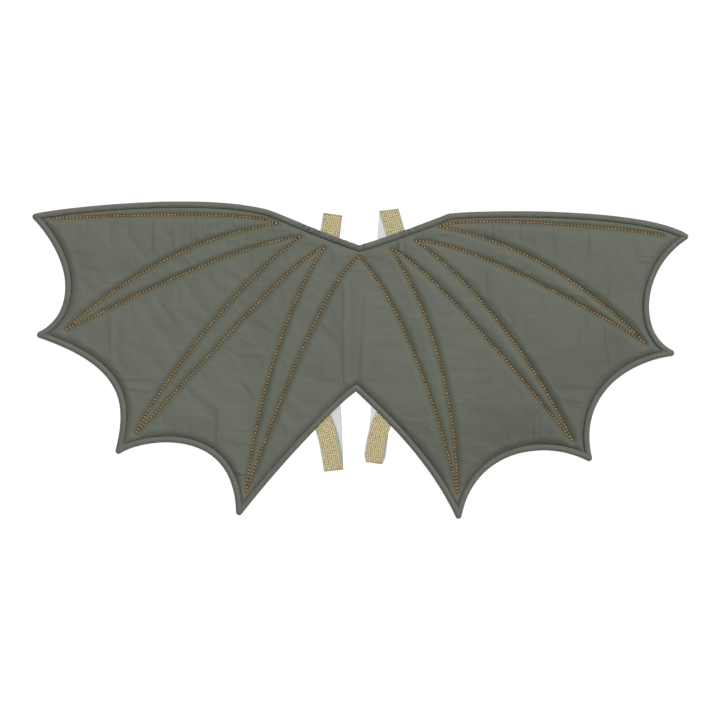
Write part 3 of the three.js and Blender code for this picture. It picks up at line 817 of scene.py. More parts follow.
def settled_cloth(spots, kept, line, height, pressed, sizes):
    """How the upper cloth moves while it settles over its filling, in three parts for each spot.

    Blender's cloth simulation works on every second spot. It holds the cloth along the seams and the edge,
    presses it outwards and lets it be a little larger than its place, so that it buckles between them.
    The moves are capped, and the spots between take the mean of their neighbours.
    """
    coarse = (slice(None, None, 2), slice(None, None, 2))
    spots, height, pressed = spots[coarse], height[coarse], pressed[coarse]
    faces = quilt_faces(spots, kept[coarse], line[coarse], height)
    used, faces = np.unique(faces, return_inverse=True)
    faces = faces.reshape(-1, 3)
    start = in_space(spots, height).reshape(-1, 3)[used]
    sheet = fill_mesh("settling_cloth", start, faces, [])
    held = pressed.ravel()[used] < SETTLE_HOLD
    held[open_edges(faces, len(used)).ravel()] = True
    sheet.vertex_groups.new(name="held").add(np.nonzero(held)[0].tolist(), 1.0, "REPLACE")
    rules = sheet.modifiers.new("Cloth", "CLOTH").settings
    rules.vertex_group_mass = "held"
    rules.quality = 4
    rules.mass = 0.3
    rules.tension_stiffness = rules.compression_stiffness = 12
    rules.shear_stiffness = 4
    rules.bending_stiffness = 0.05
    rules.use_pressure = True
    rules.uniform_pressure_force = sizes.pressure
    rules.shrink_min = rules.shrink_max = -sizes.slack
    rules.effector_weights.gravity = 0
    for number in range(1, SETTLE_FRAMES + 1):
        bpy.context.scene.frame_set(number)
    shown = sheet.evaluated_get(bpy.context.evaluated_depsgraph_get()).data
    end = np.empty(3 * len(start))
    shown.vertices.foreach_get("co", end)
    moves = np.zeros((spots.size, 3))
    moves[used] = np.clip(end.reshape(-1, 3) - start, -SETTLE_CAP, SETTLE_CAP)
    bpy.data.objects.remove(sheet)
    bpy.context.scene.frame_set(1)
    return moves.reshape(*spots.shape, 3)


def between(net, shape):
    """Spreads a coarse net over one twice as fine: the new rows and columns are means of their neighbours."""
    for axis in (0, 1):
        size = net.shape[axis]
        after = np.take(net, np.minimum(np.arange(1, size + 1), size - 1), axis)
        both = np.stack([net, (net + after) / 2], axis + 1)
        net = both.reshape(*net.shape[:axis], 2 * size, *net.shape[axis + 1 :])
    return net[: shape[0], : shape[1]]


def quilted_panel(sizes, finish):
    """The padded panel: an upper and a lower face on the same grid, and a wall round the edge."""
    step = sizes.cloth_step
    spots, kept, line, depth, distance, seam, along = quilt_grid(step, sizes.panel_inset)
    upper, lower = quilt_heights(spots, depth, distance, seam, along, sizes)
    pressed = np.minimum(np.minimum(depth, 1) - PIPING_RADIUS, np.minimum(distance, 1))
    moves = between(settled_cloth(spots, kept, line, upper, pressed, sizes), spots.shape)
    moves *= smooth((pressed - SETTLE_FROM) / SETTLE_EASE)[..., None]
    spots = spots + moves[..., 0] + 1j * moves[..., 1]
    upper = upper + moves[..., 2]
    faces = quilt_faces(spots, kept, line, upper)
    used, faces = np.unique(faces, return_inverse=True)
    faces = faces.reshape(-1, 3)
    spots, upper, lower = spots.ravel()[used], upper.ravel()[used], lower.ravel()[used]
    count = len(used)
    rim = open_edges(faces, count)
    walls = np.concatenate(
        [
            np.stack([rim[:, 0], rim[:, 1] + count, rim[:, 1]], 1),
            np.stack([rim[:, 0], rim[:, 0] + count, rim[:, 1] + count], 1),
        ]
    )
    points = np.concatenate([in_space(spots, upper), in_space(spots, lower)])
    faces = np.concatenate([faces, faces[:, [0, 2, 1]] + count, walls])
    panel = fill_mesh("quilted_panel", points, faces, [finish])
    # Closeness to a seam: it carries the painted shade of the seam's valley and the warm tint beside the
    # thread
    near_seam = np.exp(-np.minimum(distance.ravel()[used], 1) / NEAR_SEAM_REACH)
    # The darker values are painted shade patches, standing in for broad falls of light
    for name, values in (("near_seam", near_seam), ("darker", bells(spots, SHADE_PATCHES))):
        add_values(panel.data, name, np.concatenate([values, values]))
    dress(panel, "wing_cloth", "wing_panel")
    return panel


# The piping


def piping_radius(centre, distance, angle):
    """Radius by ring and side: slight wrinkles across the piping, deeper near the listed places. They are
    full on top, less on the outer side and slight on the inner side, where the panel meets it."""
    depth = WRINKLE_LEAST + MM * bells(centre, PIPING_WRINKLES)
    across, up = np.cos(angle)[None, :], np.sin(angle)[None, :]
    slant = distance[:, None] + 0.7 * PIPING_RADIUS * np.cos(angle - 0.7)[None, :]
    folds = cloudy(slant, 1.2 * MM * across + 0 * slant, WRINKLE_SIZE, 21)
    slow = cloudy(distance[:, None] + 0 * slant, 2 * MM * up + 0 * slant, SWELL_SIZE, 22)
    loose = 0.3 + 0.7 * np.maximum(up, 0) ** 2 + 0.15 * across
    return PIPING_RADIUS + depth[:, None] * loose * (np.abs(folds) * 1.8 - 0.6) + SWELL_HEIGHT * slow


def at_distance(spot, line):
    """The point and the unit way of a walked curve at distances along it, by interpolation."""
    points, ways, distance = line
    point = np.interp(spot, distance, points.real) + 1j * np.interp(spot, distance, points.imag)
    way = np.interp(spot, distance, ways.real) + 1j * np.interp(spot, distance, ways.imag)
    return point, way / np.abs(way)


def piping_rings(step):
    """Places in plan, heights and radii of the piping's rings by sides, and the distance of each ring.

    A ring's point lies at an offset to the right of the centre line and at a height, which are the cosine
    and sine of its angle times the radius. On the inner side of a corner the offset lines meet in a
    mitre: the distance along the edge is held off the corner by the offset times the tangent of half the
    turn. The outer side fans round the corner point.
    """
    angle = 2 * np.pi * np.arange(PIPING_SIDES) / PIPING_SIDES
    rise = np.sin(angle) * np.where(np.sin(angle) > 0, PIPING_FLATNESS, 1)
    walks = [walk(curve, FINE_STEP) for curve in EDGE_CURVES]
    starts = np.array([way[0] for _, way, _ in walks])
    ends = np.array([way[-1] for _, way, _ in walks])
    turns = np.angle(starts / np.roll(ends, 1))
    travelled = 0
    plan, heights, distances, radii = [], [], [], []

    def offset_points(number, along, radius):
        length = walks[number][2][-1]
        offset = radius * np.cos(angle)[None, :]
        before, after = turns[number], turns[(number + 1) % len(turns)]
        low = np.tan(abs(before) / 2) * np.maximum(0, -offset * np.sign(before))
        high = length - np.tan(abs(after) / 2) * np.maximum(0, -offset * np.sign(after))
        centre, way = at_distance(np.clip(along[:, None], low, high), walks[number])
        return centre - 1j * way * offset

    def add(plan_points, centre, distance, radius):
        plan.append(plan_points)
        heights.append(middle_height(centre.real)[:, None] + radius * rise[None, :])
        distances.append(distance)
        radii.append(radius)

    for number, (points, _, distance) in enumerate(walks):
        length = distance[-1]
        along = np.linspace(0, length, int(np.ceil(length / step)) + 1)
        centre = at_distance(along, walks[number])[0]
        radius = piping_radius(centre, travelled + along, angle)
        add(offset_points(number, along, radius), centre, travelled + along, radius)
        travelled += length
        corner = (number + 1) % len(walks)
        steps = int(np.ceil(abs(turns[corner]) / np.radians(FAN_STEP)))
        share = np.arange(1, steps)[:, None] / steps
        point = np.full(steps - 1, points[-1])
        distance = np.full(steps - 1, travelled)
        radius = piping_radius(point, distance, angle)
        offset = radius * np.cos(angle)[None, :]
        fan = points[-1] - 1j * ends[number] * np.exp(1j * turns[corner] * share) * offset
        last = offset_points(number, np.array([length]), radius[:1])
        first = offset_points(corner, np.array([0.0]), radius[:1])
        outer = offset * np.sign(turns[corner]) > 0
        add(np.where(outer, fan, last * (1 - share) + first * share), point, distance, radius)
    return [np.concatenate(part) for part in (plan, heights, distances, radii)]


def edge_piping(sizes, finish):
    """The filled piping: a round tube along the outline, with its surface place in centimetres."""
    plan, height, distance, radius = piping_rings(sizes.piping_step)
    points = in_space(plan, np.maximum(height, 0)).reshape(-1, 3)
    faces = net_faces(len(plan), PIPING_SIDES, True)[:, ::-1]
    ahead = np.append(distance[1:], distance[-1] + sizes.piping_step)
    around = np.arange(PIPING_SIDES + 1) / PIPING_SIDES * PIPING_DIAMETER * np.pi
    corners = [(ahead, around[:-1]), (ahead, around[1:]), (distance, around[1:]), (distance, around[:-1])]
    corners = [np.stack(np.meshgrid(along, across, indexing="ij"), -1) for along, across in corners]
    coordinates = np.stack(corners, 2).reshape(-1, 2) * 100
    piping = fill_mesh("edge_roll", points, faces, [finish], coordinates=coordinates)
    # The fold values carry painted shade into the creases of the piping's wrinkles
    fold = (PIPING_RADIUS - radius.ravel()) / FOLD_SHADE_DEPTH - FOLD_UNSEEN
    add_values(piping.data, "fold", np.clip(fold, 0, 1))
    merge_twins(piping.data)
    dress(piping, "piping_cloth", "edge_piping")
    return piping


def merge_twins(mesh):
    """Joins points that share a spot, and takes out the flat faces between them."""
    work = bmesh.new()
    work.from_mesh(mesh)
    bmesh.ops.remove_doubles(work, verts=work.verts, dist=0.00003)
    bmesh.ops.dissolve_degenerate(work, edges=work.edges, dist=0.00001)
    work.to_mesh(mesh)
    work.free()


# The arm loops


def loop_end(edge, share, x, y, heading, under, aside, under_aside, narrow):
    """One end of a loop: its upper run in plan, the axis of its fold and the ways of its layers there."""
    line = walk(EDGE_CURVES[[row[0] for row in EDGES].index(edge)], FINE_STEP)
    point, way = at_distance(share * line[2][-1], line)
    outwards = -1j * way
    sewn = point - outwards * (PANEL_INSET + SEWN_LENGTH)
    upper_way, lower_way = turn(heading), turn(under)
    way = (upper_way + lower_way) / abs(upper_way + lower_way)
    axis = complex(x * REACH_X, y * REACH_Y) + SHIFT - way * (FOLD_RADIUS + ELASTIC_THICKNESS / 2)
    sides = 1j * upper_way * aside * MM, 1j * lower_way * under_aside * MM
    return {
        "upper": band_curve(sewn, outwards, axis + sides[0], upper_way),
        "axis": axis,
        "sides": sides,
        "upper_way": upper_way,
        "lower_way": lower_way,
        "way": way,
        "narrow": narrow,
    }


def band_path(ends, step):
    """Centres, ways across and ways out of a loop's cross-sections, from one sewn end round to the other.

    The upper runs lie level under the piping and rise at the sewn end, the folds are half circles, and
    the lower run lies on the floor.
    """
    top, bottom = [loop_end(*end) for end in ends]
    centres, acrosses, outs = [], [], []

    def add(*section):
        plan, height, across, out_plan, out_height = np.broadcast_arrays(*section)
        centres.append(in_space(plan, height))
        acrosses.append(in_space(across, 0))
        outs.append(in_space(out_plan, out_height))

    def width(end, from_fold):
        """Share of the full width at a distance from the fold, eased by a smooth step."""
        return 1 + (end["narrow"] - 1) * smooth(1 - from_fold / FOLD_EASE)

    def upper_run(end, side, order):
        points, ways, distance = walk(end["upper"], step)
        rise = middle_height(points[0].real) - FRAME_HALF_PAD - CLEARANCE - ELASTIC_THICKNESS / 2
        height = rise + (UPPER_LAYER - rise) * smooth(distance / SEWN_LENGTH)
        across = 1j * ways * side * width(end, distance[-1] - distance)
        add(points[order], height[order], across[order], 0j, 1.0)

    def fold(end, side, order):
        share = np.linspace(0, 1, 18)[1:-1][order]
        out_plan = end["way"] * np.sin(np.pi * share)
        out_height = np.cos(np.pi * share)
        aside = end["sides"][0] * (1 - share) + end["sides"][1] * share
        plan = end["axis"] + aside + out_plan * FOLD_RADIUS
        height = LOWER_LAYER + FOLD_RADIUS + out_height * FOLD_RADIUS
        way = end["upper_way"] * (1 - share) + end["lower_way"] * share
        add(plan, height, 1j * way / np.abs(way) * side * end["narrow"], out_plan, out_height)

    forward, backward = slice(None), slice(None, None, -1)
    upper_run(top, 1, forward)
    fold(top, 1, forward)
    starts = [end["axis"] + end["sides"][1] for end in (top, bottom)]
    lower = band_curve(starts[0], -top["lower_way"], starts[1], bottom["lower_way"])
    points, ways, distance = walk(lower, step)
    across = -1j * ways * width(top, distance) * width(bottom, distance[-1] - distance)
    add(points, LOWER_LAYER, across, 0j, -1.0)
    fold(bottom, -1, backward)
    upper_run(bottom, -1, backward)
    return np.concatenate(centres), np.concatenate(acrosses), np.concatenate(outs)


def band_outline():
    """Cross-section of the elastic: the outer face, a rounded edge, the inner face and the other edge.
    Gives places across and outwards from -1 to 1, the share of the width for the surface, and which
    points belong to the inner face."""
    share = np.linspace(0, 1, BAND_POINTS)
    hem = smooth(np.minimum(share, 1 - share) / HEM)
    across = (2 * share - 1) * FACE_END
    outer = 1 - HEM_THINNER * (1 - hem)
    bend = np.array([EDGE_THICKNESS, -EDGE_THICKNESS])
    edge = np.array([1.0, 1.0])
    aside = np.concatenate([across, edge, across[::-1], -edge])
    outwards = np.concatenate([outer, bend, -outer[::-1], -bend])
    spread = np.concatenate([share, [1.0, 1.0], share[::-1], [0.0, 0.0]])
    inner = np.concatenate([np.zeros(BAND_POINTS + 1), np.ones(BAND_POINTS + 1), [0, 0]])
    return aside, outwards, spread, inner


def arm_loop(name, ends, sizes, gold, white):
    """One elastic arm loop, gold outside and white inside, as its cross-section carried along its path."""
    centres, across, out = band_path(ends, sizes.elastic_step)
    aside, outwards, spread, inner = band_outline()
    travelled = np.concatenate([[0], np.cumsum(np.linalg.norm(np.diff(centres, axis=0), axis=1))])
    slant = SLANT * (1 - np.abs(2 * WALES * spread % 2 - 1))
    loops = np.sin(2 * np.pi * travelled[:, None] / COURSE + slant[None, :])
    relief = KNIT_RELIEF * np.where(inner, INNER_RELIEF, 1.0)
    outwards = outwards[None, :] * (1 + (loops - 1) * relief[None, :])
    points = centres[:, None, :]
    points = points + across[:, None, :] * (aside * ELASTIC_WIDTH / 2)[None, :, None]
    points = points + out[:, None, :] * (outwards * ELASTIC_THICKNESS / 2)[:, :, None]
    rings, sides = len(centres), len(aside)
    faces = net_faces(rings, sides, False)
    distance = travelled * 100
    along = np.stack([distance[:-1], distance[:-1], distance[1:], distance[1:]], 1)
    far = np.roll(spread, -1)
    over = np.stack([spread, far, far, spread], 1)
    places = np.broadcast_arrays(over[None, :, :], along[:, None, :])
    cap_places = np.stack([np.concatenate([spread[::-1], spread]), np.zeros(2 * sides)], 1)
    surface = np.concatenate([np.stack(places, -1).reshape(-1, 2), cap_places])
    finish = np.append(np.tile(inner, rings - 1), [0, 0])
    caps = [np.arange(sides)[::-1], np.arange(sides) + (rings - 1) * sides]
    return fill_mesh(name, points.reshape(-1, 3), faces, [gold, white], finish, surface, caps)


# The stitches


def capsules(centres, ways, ups, length, width, thickness, arch):
    """Many like stitches in one mesh: each a closed spindle whose rings shrink towards its two ends by the
    fourth-power circle, arched upwards in a parabola along its length."""
    ring_share = np.array([-0.93, -0.6, 0.0, 0.6, 0.93])
    sides = 6
    angle = 2 * np.pi * (np.arange(sides) + 0.5) / sides
    size = (1 - ring_share**4) ** 0.5
    along = np.concatenate([[-1.0], np.repeat(ring_share, sides), [1.0]])
    ring = np.concatenate([[0.0], np.repeat(size, sides), [0.0]])
    turned = np.concatenate([[0.0], np.tile(angle, len(ring_share)), [0.0]])
    side = np.cross(ups, ways)
    points = (
        centres[:, None, :]
        + ways[:, None, :] * (along * length / 2)[None, :, None]
        + side[:, None, :] * (ring * np.cos(turned) * width / 2)[None, :, None]
        + ups[:, None, :] * (ring * np.sin(turned) * thickness / 2 + arch * (1 - along**2))[None, :, None]
    )
    body = net_faces(len(ring_share), sides, False) + 1
    k = np.arange(sides)
    last = 1 + (len(ring_share) - 1) * sides
    tip = last + sides
    start = np.stack([np.zeros(sides, int), 1 + (k + 1) % sides, 1 + k], 1)
    end = np.stack([np.full(sides, tip), last + k, last + (k + 1) % sides], 1)
    triangles = np.concatenate([body[:, [0, 1, 2]], body[:, [0, 2, 3]], start, end])
    count = len(along)
    faces = (triangles[None] + (np.arange(len(centres)) * count)[:, None, None]).reshape(-1, 3)
    place_along = np.tile(along, len(centres)) * length / 2
    place_round = np.tile(np.sin(turned), len(centres)) * width / 2
    surface = np.stack([place_along, place_round], 1) * 100
    return points.reshape(-1, 3), faces, surface[faces].reshape(-1, 2)


def on_seam(spots, ways, raised):
    """Points raised above the pressed middle of a seam, the ways along it in space and the ways upwards."""
    height = middle_height(spots.real)
    slope = (middle_height(spots.real + ways.real * MM) - height) / MM
    ways = in_space(ways, slope)
    ways /= np.linalg.norm(ways, axis=1)[:, None]
    ups = np.array([0, 0, 1]) - ways * ways[:, 2:]
    ups /= np.linalg.norm(ups, axis=1)[:, None]
    return in_space(spots, height - SEAM_SINK + raised), ways, ups


def gold_stitching(sizes, finish):
    """The stitches of the ribs: arched over the cloth above, flatter below, each a little askew. At each
    needle hole a thread lies across the seam, and its surface is marked as a stitch's end, so that it takes
    the ends colour all over, as painted shadow of the hole."""
    walks = [walk(curve, sizes.stitch_length) for curve in SEAM_CURVES]
    spots = np.concatenate([(points[:-1] + points[1:]) / 2 for points, _, _ in walks])
    ways = np.concatenate([np.diff(points) / np.abs(np.diff(points)) for points, _, _ in walks])
    askew = np.radians(ASKEW + np.random.default_rng(31).normal(0, ASKEW_SPREAD, len(spots)))
    askew_ways = ways * np.exp(1j * askew)
    holes = np.concatenate([points for points, _, _ in walks])
    across = np.concatenate([way * turn(HOLE_TURN) for _, way, _ in walks])
    half = sizes.seam_thickness / 2
    length, width = sizes.stitch_length, sizes.stitch_width
    parts = []
    for centres, headings, side, unit, (off, long, wide, thick, arch) in (
        (spots, askew_ways, 1, length, UPPER_THREAD),
        (spots, ways, -1, length, LOWER_THREAD),
        (holes, across, 1, width, HOLE_SHADOW_THREAD),
    ):
        middles, along, up = on_seam(centres, headings, side * (half + off))
        parts.append(capsules(middles, along, side * up, unit * long, width * wide, width * thick, arch))
    # The threads across the holes read as stitch ends all over, so they take the painted shadow colour
    parts[2][2][:, 0] += 1
    points = np.concatenate([part[0] for part in parts])
    starts = np.cumsum([0] + [len(part[0]) for part in parts])
    faces = np.concatenate([part[1] + start for part, start in zip(parts, starts)])
    surface = np.concatenate([part[2] for part in parts])
    stitches = fill_mesh("gold_stitching", points, faces, [finish], coordinates=surface)
    return dress(stitches, "gold_thread")


# Materials


class Wire:
    """One output of a material's nodes. Sums, products and powers of wires and numbers add Math nodes."""

    def __init__(self, material, socket=None):
        self.material = material
        self.socket = socket

    def node(self, kind, settings=None, inputs=None, output=0):
        """Adds a node: its settings come first, then the values or wires of its sockets."""
        tree = self.material.node_tree
        node = tree.nodes.new(kind)
        for name, value in (settings or {}).items():
            setattr(node, name, value)
        for name, value in (inputs or {}).items():
            if isinstance(value, Wire):
                tree.links.new(value.socket, node.inputs[name])
            else:
                node.inputs[name].default_value = value
        return Wire(self.material, node.outputs[output] if node.outputs else None)

    def math(self, operation, *values):
        return self.node("ShaderNodeMath", {"operation": operation}, dict(enumerate(values)))

    def __add__(self, other):
        return self.math("ADD", self, other)

    def __sub__(self, other):
        return self.math("SUBTRACT", self, other)

    def __rsub__(self, other):
        return self.math("SUBTRACT", other, self)

    def __mul__(self, other):
        return self.math("MULTIPLY", self, other)

    def __pow__(self, other):
        return self.math("POWER", self, other)

    __radd__ = __add__
    __rmul__ = __mul__

    def sine(self):
        return self.math("SINE", self)

    def rise(self, low, high):
        """From 0 at low to 1 at high, with level ends."""
        settings = {"interpolation_type": "SMOOTHSTEP"}
        return self.node("ShaderNodeMapRange", settings, {"Value": self, "From Min": low, "From Max": high})

    def blend(self, first, second):
        """The first colour where this is 0 and the second where it is 1."""
        return self.node("ShaderNodeMix", {"data_type": "RGBA"}, {0: self, 6: first, 7: second}, 2)

    def dye(self, colour, tint):
        """The colour, multiplied by the tint where this is 1."""
        settings = {"data_type": "RGBA", "blend_type": "MULTIPLY"}
        return self.node("ShaderNodeMix", settings, {0: self, 6: colour, 7: tint}, 2)

    def values(self, name):
        """The numbers that the mesh holds under this name."""
        return self.node("ShaderNodeAttribute", {"attribute_name": name}, output="Fac")

    def surface(self):
        """The place on a piece's own surface."""
        return self.node("ShaderNodeUVMap", {"uv_map": "surface"})

    def place(self):
        """The place in space, in metres."""
        return self.node("ShaderNodeTexCoord", output="Object")

    def scaled(self, x, y, z, turned=0.0):
        """These coordinates turned about Z and scaled."""
        inputs = {"Vector": self, "Scale": (x, y, z), "Rotation": (0, 0, turned)}
        return self.node("ShaderNodeMapping", None, inputs)

    def noise(self, scale=1.0, detail=2.0, roughness=0.5):
        """Cloudy noise over these coordinates, about 0.5 in the mean."""
        inputs = {"Vector": self, "Scale": scale, "Detail": detail, "Roughness": roughness}
        return self.node("ShaderNodeTexNoise", None, inputs)

    def part(self, axis):
        """The x, y or z of this vector, by its number."""
        return self.node("ShaderNodeSeparateXYZ", None, {0: self}, axis)

    def size(self):
        """This number without its sign."""
        return self.math("ABSOLUTE", self)

    def bump(self, depth_mm):
        """The normals of a relief this deep, where this is its height from about 0 to 1."""
        return self.node("ShaderNodeBump", None, {"Height": self, "Distance": depth_mm * MM, "Strength": 1.0})

    def close(self, inputs, constants):
        """The shader, with wires and constants in its sockets, and the output. Gives the material."""
        shader = self.node("ShaderNodeBsdfPrincipled", None, {**inputs, **constants})
        self.node("ShaderNodeOutputMaterial", None, {"Surface": shader})
        return self.material


def tinted(colour, share):
    """A colour made lighter or darker, with full alpha."""
    return (*[min(1.0, value * share) for value in colour], 1.0)


def new_finish(name):
    """A material with no nodes, as the wire that adds them."""
    material = bpy.data.materials.new(name)
    material.use_nodes = True
    material.node_tree.nodes.clear()
    return Wire(material)


def cloth_finish(name, colour):
    """Plain cotton with a dull satin face: fine weave, thicker yarns along X, faint streaks along Y. Painted
    shade darkens the seams' valleys and a few broad patches.
    """
    start = new_finish(name)
    spot = start.place()
    slub = spot.scaled(24, 300, 300).noise(1.0, 3.0)
    streak = spot.scaled(300, 16, 16).noise(1.0, 2.0)
    mottle = spot.noise(24.0, 3.0)
    grain = spot.noise(1100.0, 2.0)
    turns = 2 * np.pi / YARN_PITCH
    weave = (spot.part(0) * turns).sine() * (spot.part(1) * turns).sine()
    tone = slub * 0.3 + streak * 0.2 + mottle * 0.35 + grain * 0.15
    shade = tone.rise(0.3, 0.7).blend(tinted(colour, 0.93), tinted(colour, 1.07))
    near_seam = start.values("near_seam")
    shade = (near_seam**0.2).rise(0.25, 0.56).dye(shade, BESIDE_THREAD)
    # Painted shade patches: broad darker places that stand in for how the light falls
    shade = start.values("darker").dye(shade, SHADE_PATCH_TINT)
    # Painted shade of the seam's valley, tinted brown like the thread
    shade = (near_seam * 0.85).blend(shade, SEAM_SHADE)
    height = slub * 0.35 + streak * 0.2 + grain * 0.3 + weave * 0.15
    inputs = {"Base Color": shade, "Roughness": 0.56 + 0.16 * mottle, "Normal": height.bump(0.07)}
    return start.close(inputs, COTTON)


def piping_finish(name, colour):
    """The same cotton cut on the bias, by the piping's own surface: centimetres along and around."""
    start = new_finish(name)
    surface = start.surface()
    slub = surface.scaled(1.0, 9.0, 1, BIAS).noise(1.0, 3.0)
    mottle = surface.noise(0.8, 3.0)
    grain = surface.noise(14.0, 2.0)
    tone = slub * 0.5 + mottle * 0.3 + grain * 0.2
    shade = tone.rise(0.3, 0.7).blend(tinted(colour, 0.84), tinted(colour, 1.16))
    # Painted shade in the wrinkles' folds
    shade = start.values("fold").dye(shade, FOLD_SHADE_TINT)
    normal = (slub * 0.6 + grain * 0.4).bump(0.12)
    return start.close({"Base Color": shade, "Roughness": 0.52 + 0.16 * mottle, "Normal": normal}, COTTON)


def elastic_finish(name, dark, light, edge_colour, metal, deep):
    """Knitted elastic by the band's own surface: share of the width across, centimetres along. The loops
    are a wave along the band, whose phase runs to and fro across each column of loops like a V."""
    start = new_finish(name)
    surface = start.surface()
    across, along = surface.part(0), surface.part(1)
    aslant = across.math("PINGPONG", across * (2 * WALES), 1.0)
    loose = surface.scaled(2.0 * WALES, 4.0, 1).noise(1.0, 1.0)
    loops = (along * (2 * np.pi / (COURSE * 100)) + aslant * SLANT + 7.0 * (loose - 0.5)).sine()
    gap = (across * (4 * np.pi * WALES) + np.pi / 2).sine()
    fleck = surface.scaled(3.0 * WALES, 6.0, 1).noise(1.0, 2.0, 0.6)
    # Light flecks are partly the knit's own tone and partly painted glints of the metal yarn
    tone = 0.58 + deep * (0.42 * loops - 0.4 * gap + 1.8 * (fleck - 0.5))
    # The grey selvage is partly the band's own edge yarn and partly painted shade on its rounded edges
    selvage_and_edge_shade = (across - 0.5).size().rise(0.44, 0.475)
    shade = selvage_and_edge_shade.blend(tone.rise(0.0, 1.0).blend(dark, light), edge_colour)
    normal = (0.5 + 0.25 * loops + 0.25 * fleck).bump(0.18)
    inputs = {"Base Color": shade, "Roughness": 0.5 - 0.1 * (fleck - 0.5), "Normal": normal}
    return start.close(inputs, {"Specular IOR Level": 0.5, "Metallic": metal})


def thread_finish(name, colour, ends):
    """Twisted shiny thread by each stitch's own surface, with its plies running aslant. Its colour is a
    painted highlight on each stitch's crown and fades to the ends colour, a painted shade, towards its ends.
    """
    start = new_finish(name)
    surface = start.surface()
    ply = (surface.part(0) * (2 * np.pi / 0.075) + surface.part(1) * (2 * np.pi / 0.11)).sine()
    mottle = start.place().noise(140.0, 2.0)
    # The crown is painted lighter as a highlight, and towards its ends the thread is painted darker as shade
    crown = 1 - surface.part(0).size().rise(0.05, 0.17)
    tone = 0.12 * ply + 1.6 * (mottle - 0.5) + 0.85 * crown
    shade = tone.rise(0.0, 1.0).blend(ends, tinted(colour, 1.0))
    normal = (0.5 + 0.5 * ply).bump(0.1)
    inputs = {"Base Color": shade, "Roughness": 0.38 + 0.1 * mottle, "Normal": normal}
    return start.close(inputs, {"Specular IOR Level": 0.7, "Sheen Weight": 0.1})


def floor_finish():
    """A white floor that glows enough to stay pale, and still takes a faint shadow."""
    start = new_finish("pale_floor")
    tone = start.place().noise(3.0, 2.0).blend((0.14, 0.14, 0.14, 1), (0.16, 0.16, 0.16, 1))
    constants = {"Roughness": 1.0, "Specular IOR Level": 0.0, "Emission Strength": 0.92}
    return start.close({"Base Color": tone, "Emission Color": (1, 1, 1, 1)}, constants)


# What a user changes


def length_property(name, description, default):
    """A length that the sidebar shows in the scene's unit."""
    return bpy.props.FloatProperty(name=name, description=description, default=default, unit="LENGTH")


def factor_property(name, description, default):
    """A plain factor that the sidebar shows."""
    return bpy.props.FloatProperty(name=name, description=description, default=default, subtype="FACTOR")


def colour_property(name, description, default):
    """A colour that the sidebar shows."""
    return bpy.props.FloatVectorProperty(
        name=name, description=description, subtype="COLOR", size=3, min=0.0, max=1.0, default=default
    )


class WingsSizes(bpy.types.PropertyGroup):
    """Sizes of the cloth, padding and stitches."""

    pad_thickness: length_property("Padding", "Thickness of the panel between its seams", 0.0078)
    seam_thickness: length_property("Pressed", "Thickness of the panel at a seam", 0.0014)
    puff_reach: length_property("Puff reach", "From a seam to where the filling is thickest", 0.0098)
    edge_reach: length_property("Edge reach", "From the piping to where the filling is thickest", 0.0092)
    pressure: factor_property("Pressure", "How hard the filling presses the cloth outwards", 0.5)
    slack: factor_property("Slack", "How much larger the cloth is than its place between seams", 0.0025)
    panel_inset: length_property("Panel inset", "From the piping's middle in to the panel's edge", 0.00395)
    crease_depth: factor_property("Creases", "Depth of the creases, as a factor", 1.0)
    cloth_step: length_property("Cloth step", "Mesh step of the panel", 0.0018)
    piping_step: length_property("Piping step", "Mesh step along the piping", 0.001)
    elastic_step: length_property("Elastic step", "Mesh step along the arm loops", 0.00092)
    stitch_length: length_property("Stitch length", "From one needle hole to the next", 0.00443)
    stitch_width: length_property("Stitch width", "Width of the gold thread", 0.002)


class WingsColours(bpy.types.PropertyGroup):
    """Colours of the cloths, elastics and thread."""

    cloth: colour_property("Cloth", "Colour of the panel", (0.128, 0.1375, 0.1105))
    piping: colour_property("Piping", "Colour of the piping", (0.132, 0.138, 0.116))
    gold: colour_property("Elastic", "Outside of the arm loops", (0.411, 0.339, 0.156))
    white: colour_property("Elastic back", "Inside of the arm loops", (0.615, 0.655, 0.645))
    thread: colour_property("Thread", "Colour of the rib stitches", (0.42, 0.29, 0.128))


# One operator for each piece or group


class WINGS_OT_panel(bpy.types.Operator):
    """Make the quilted panel"""

    bl_idname = "wings.panel"
    bl_label = "Quilted panel"

    def execute(self, context):
        settings = context.scene
        quilted_panel(settings.wings_sizes, cloth_finish("wing_cloth", settings.wings_colours.cloth))
        return {"FINISHED"}


class WINGS_OT_piping(bpy.types.Operator):
    """Make the filled piping round the edge"""

    bl_idname = "wings.piping"
    bl_label = "Piping"

    def execute(self, context):
        settings = context.scene
        edge_piping(settings.wings_sizes, piping_finish("piping_cloth", settings.wings_colours.piping))
        return {"FINISHED"}


class WINGS_OT_arm_loops(bpy.types.Operator):
    """Make the two elastic arm loops"""

    bl_idname = "wings.arm_loops"
    bl_label = "Arm loops"

    def execute(self, context):
        settings = context.scene
        colours = settings.wings_colours
        dark = tinted([value**1.35 for value in colours.gold], 0.42)
        # The light tone is partly the knit's lighter flecks and partly painted glints of the metal yarn
        light = tinted([value**0.85 for value in colours.gold], 1.32)
        # The gold's grey edge and the white's darker edge are partly painted shade at the band's edges
        gold = elastic_finish("elastic", dark, light, (0.34, 0.33, 0.28, 1), 0.1, 0.8)
        colour = tinted(colours.white, 1)
        white = elastic_finish("elastic_back", colour, colour, tinted(colours.white, 0.92), 0.0, 0.0)
        for name, ends in LOOPS.items():
            band = arm_loop(name.replace("strap", "arm_loop"), ends, settings.wings_sizes, gold, white)
            dress(band, "elastic", name)
        return {"FINISHED"}


class WINGS_OT_stitches(bpy.types.Operator):
    """Lay the gold stitches along the ribs"""

    bl_idname = "wings.stitches"
    bl_label = "Gold stitching"

    def execute(self, context):
        settings = context.scene
        colour = settings.wings_colours.thread
        gold_stitching(settings.wings_sizes, thread_finish("gold_thread", colour, THREAD_END_SHADE))
        return {"FINISHED"}


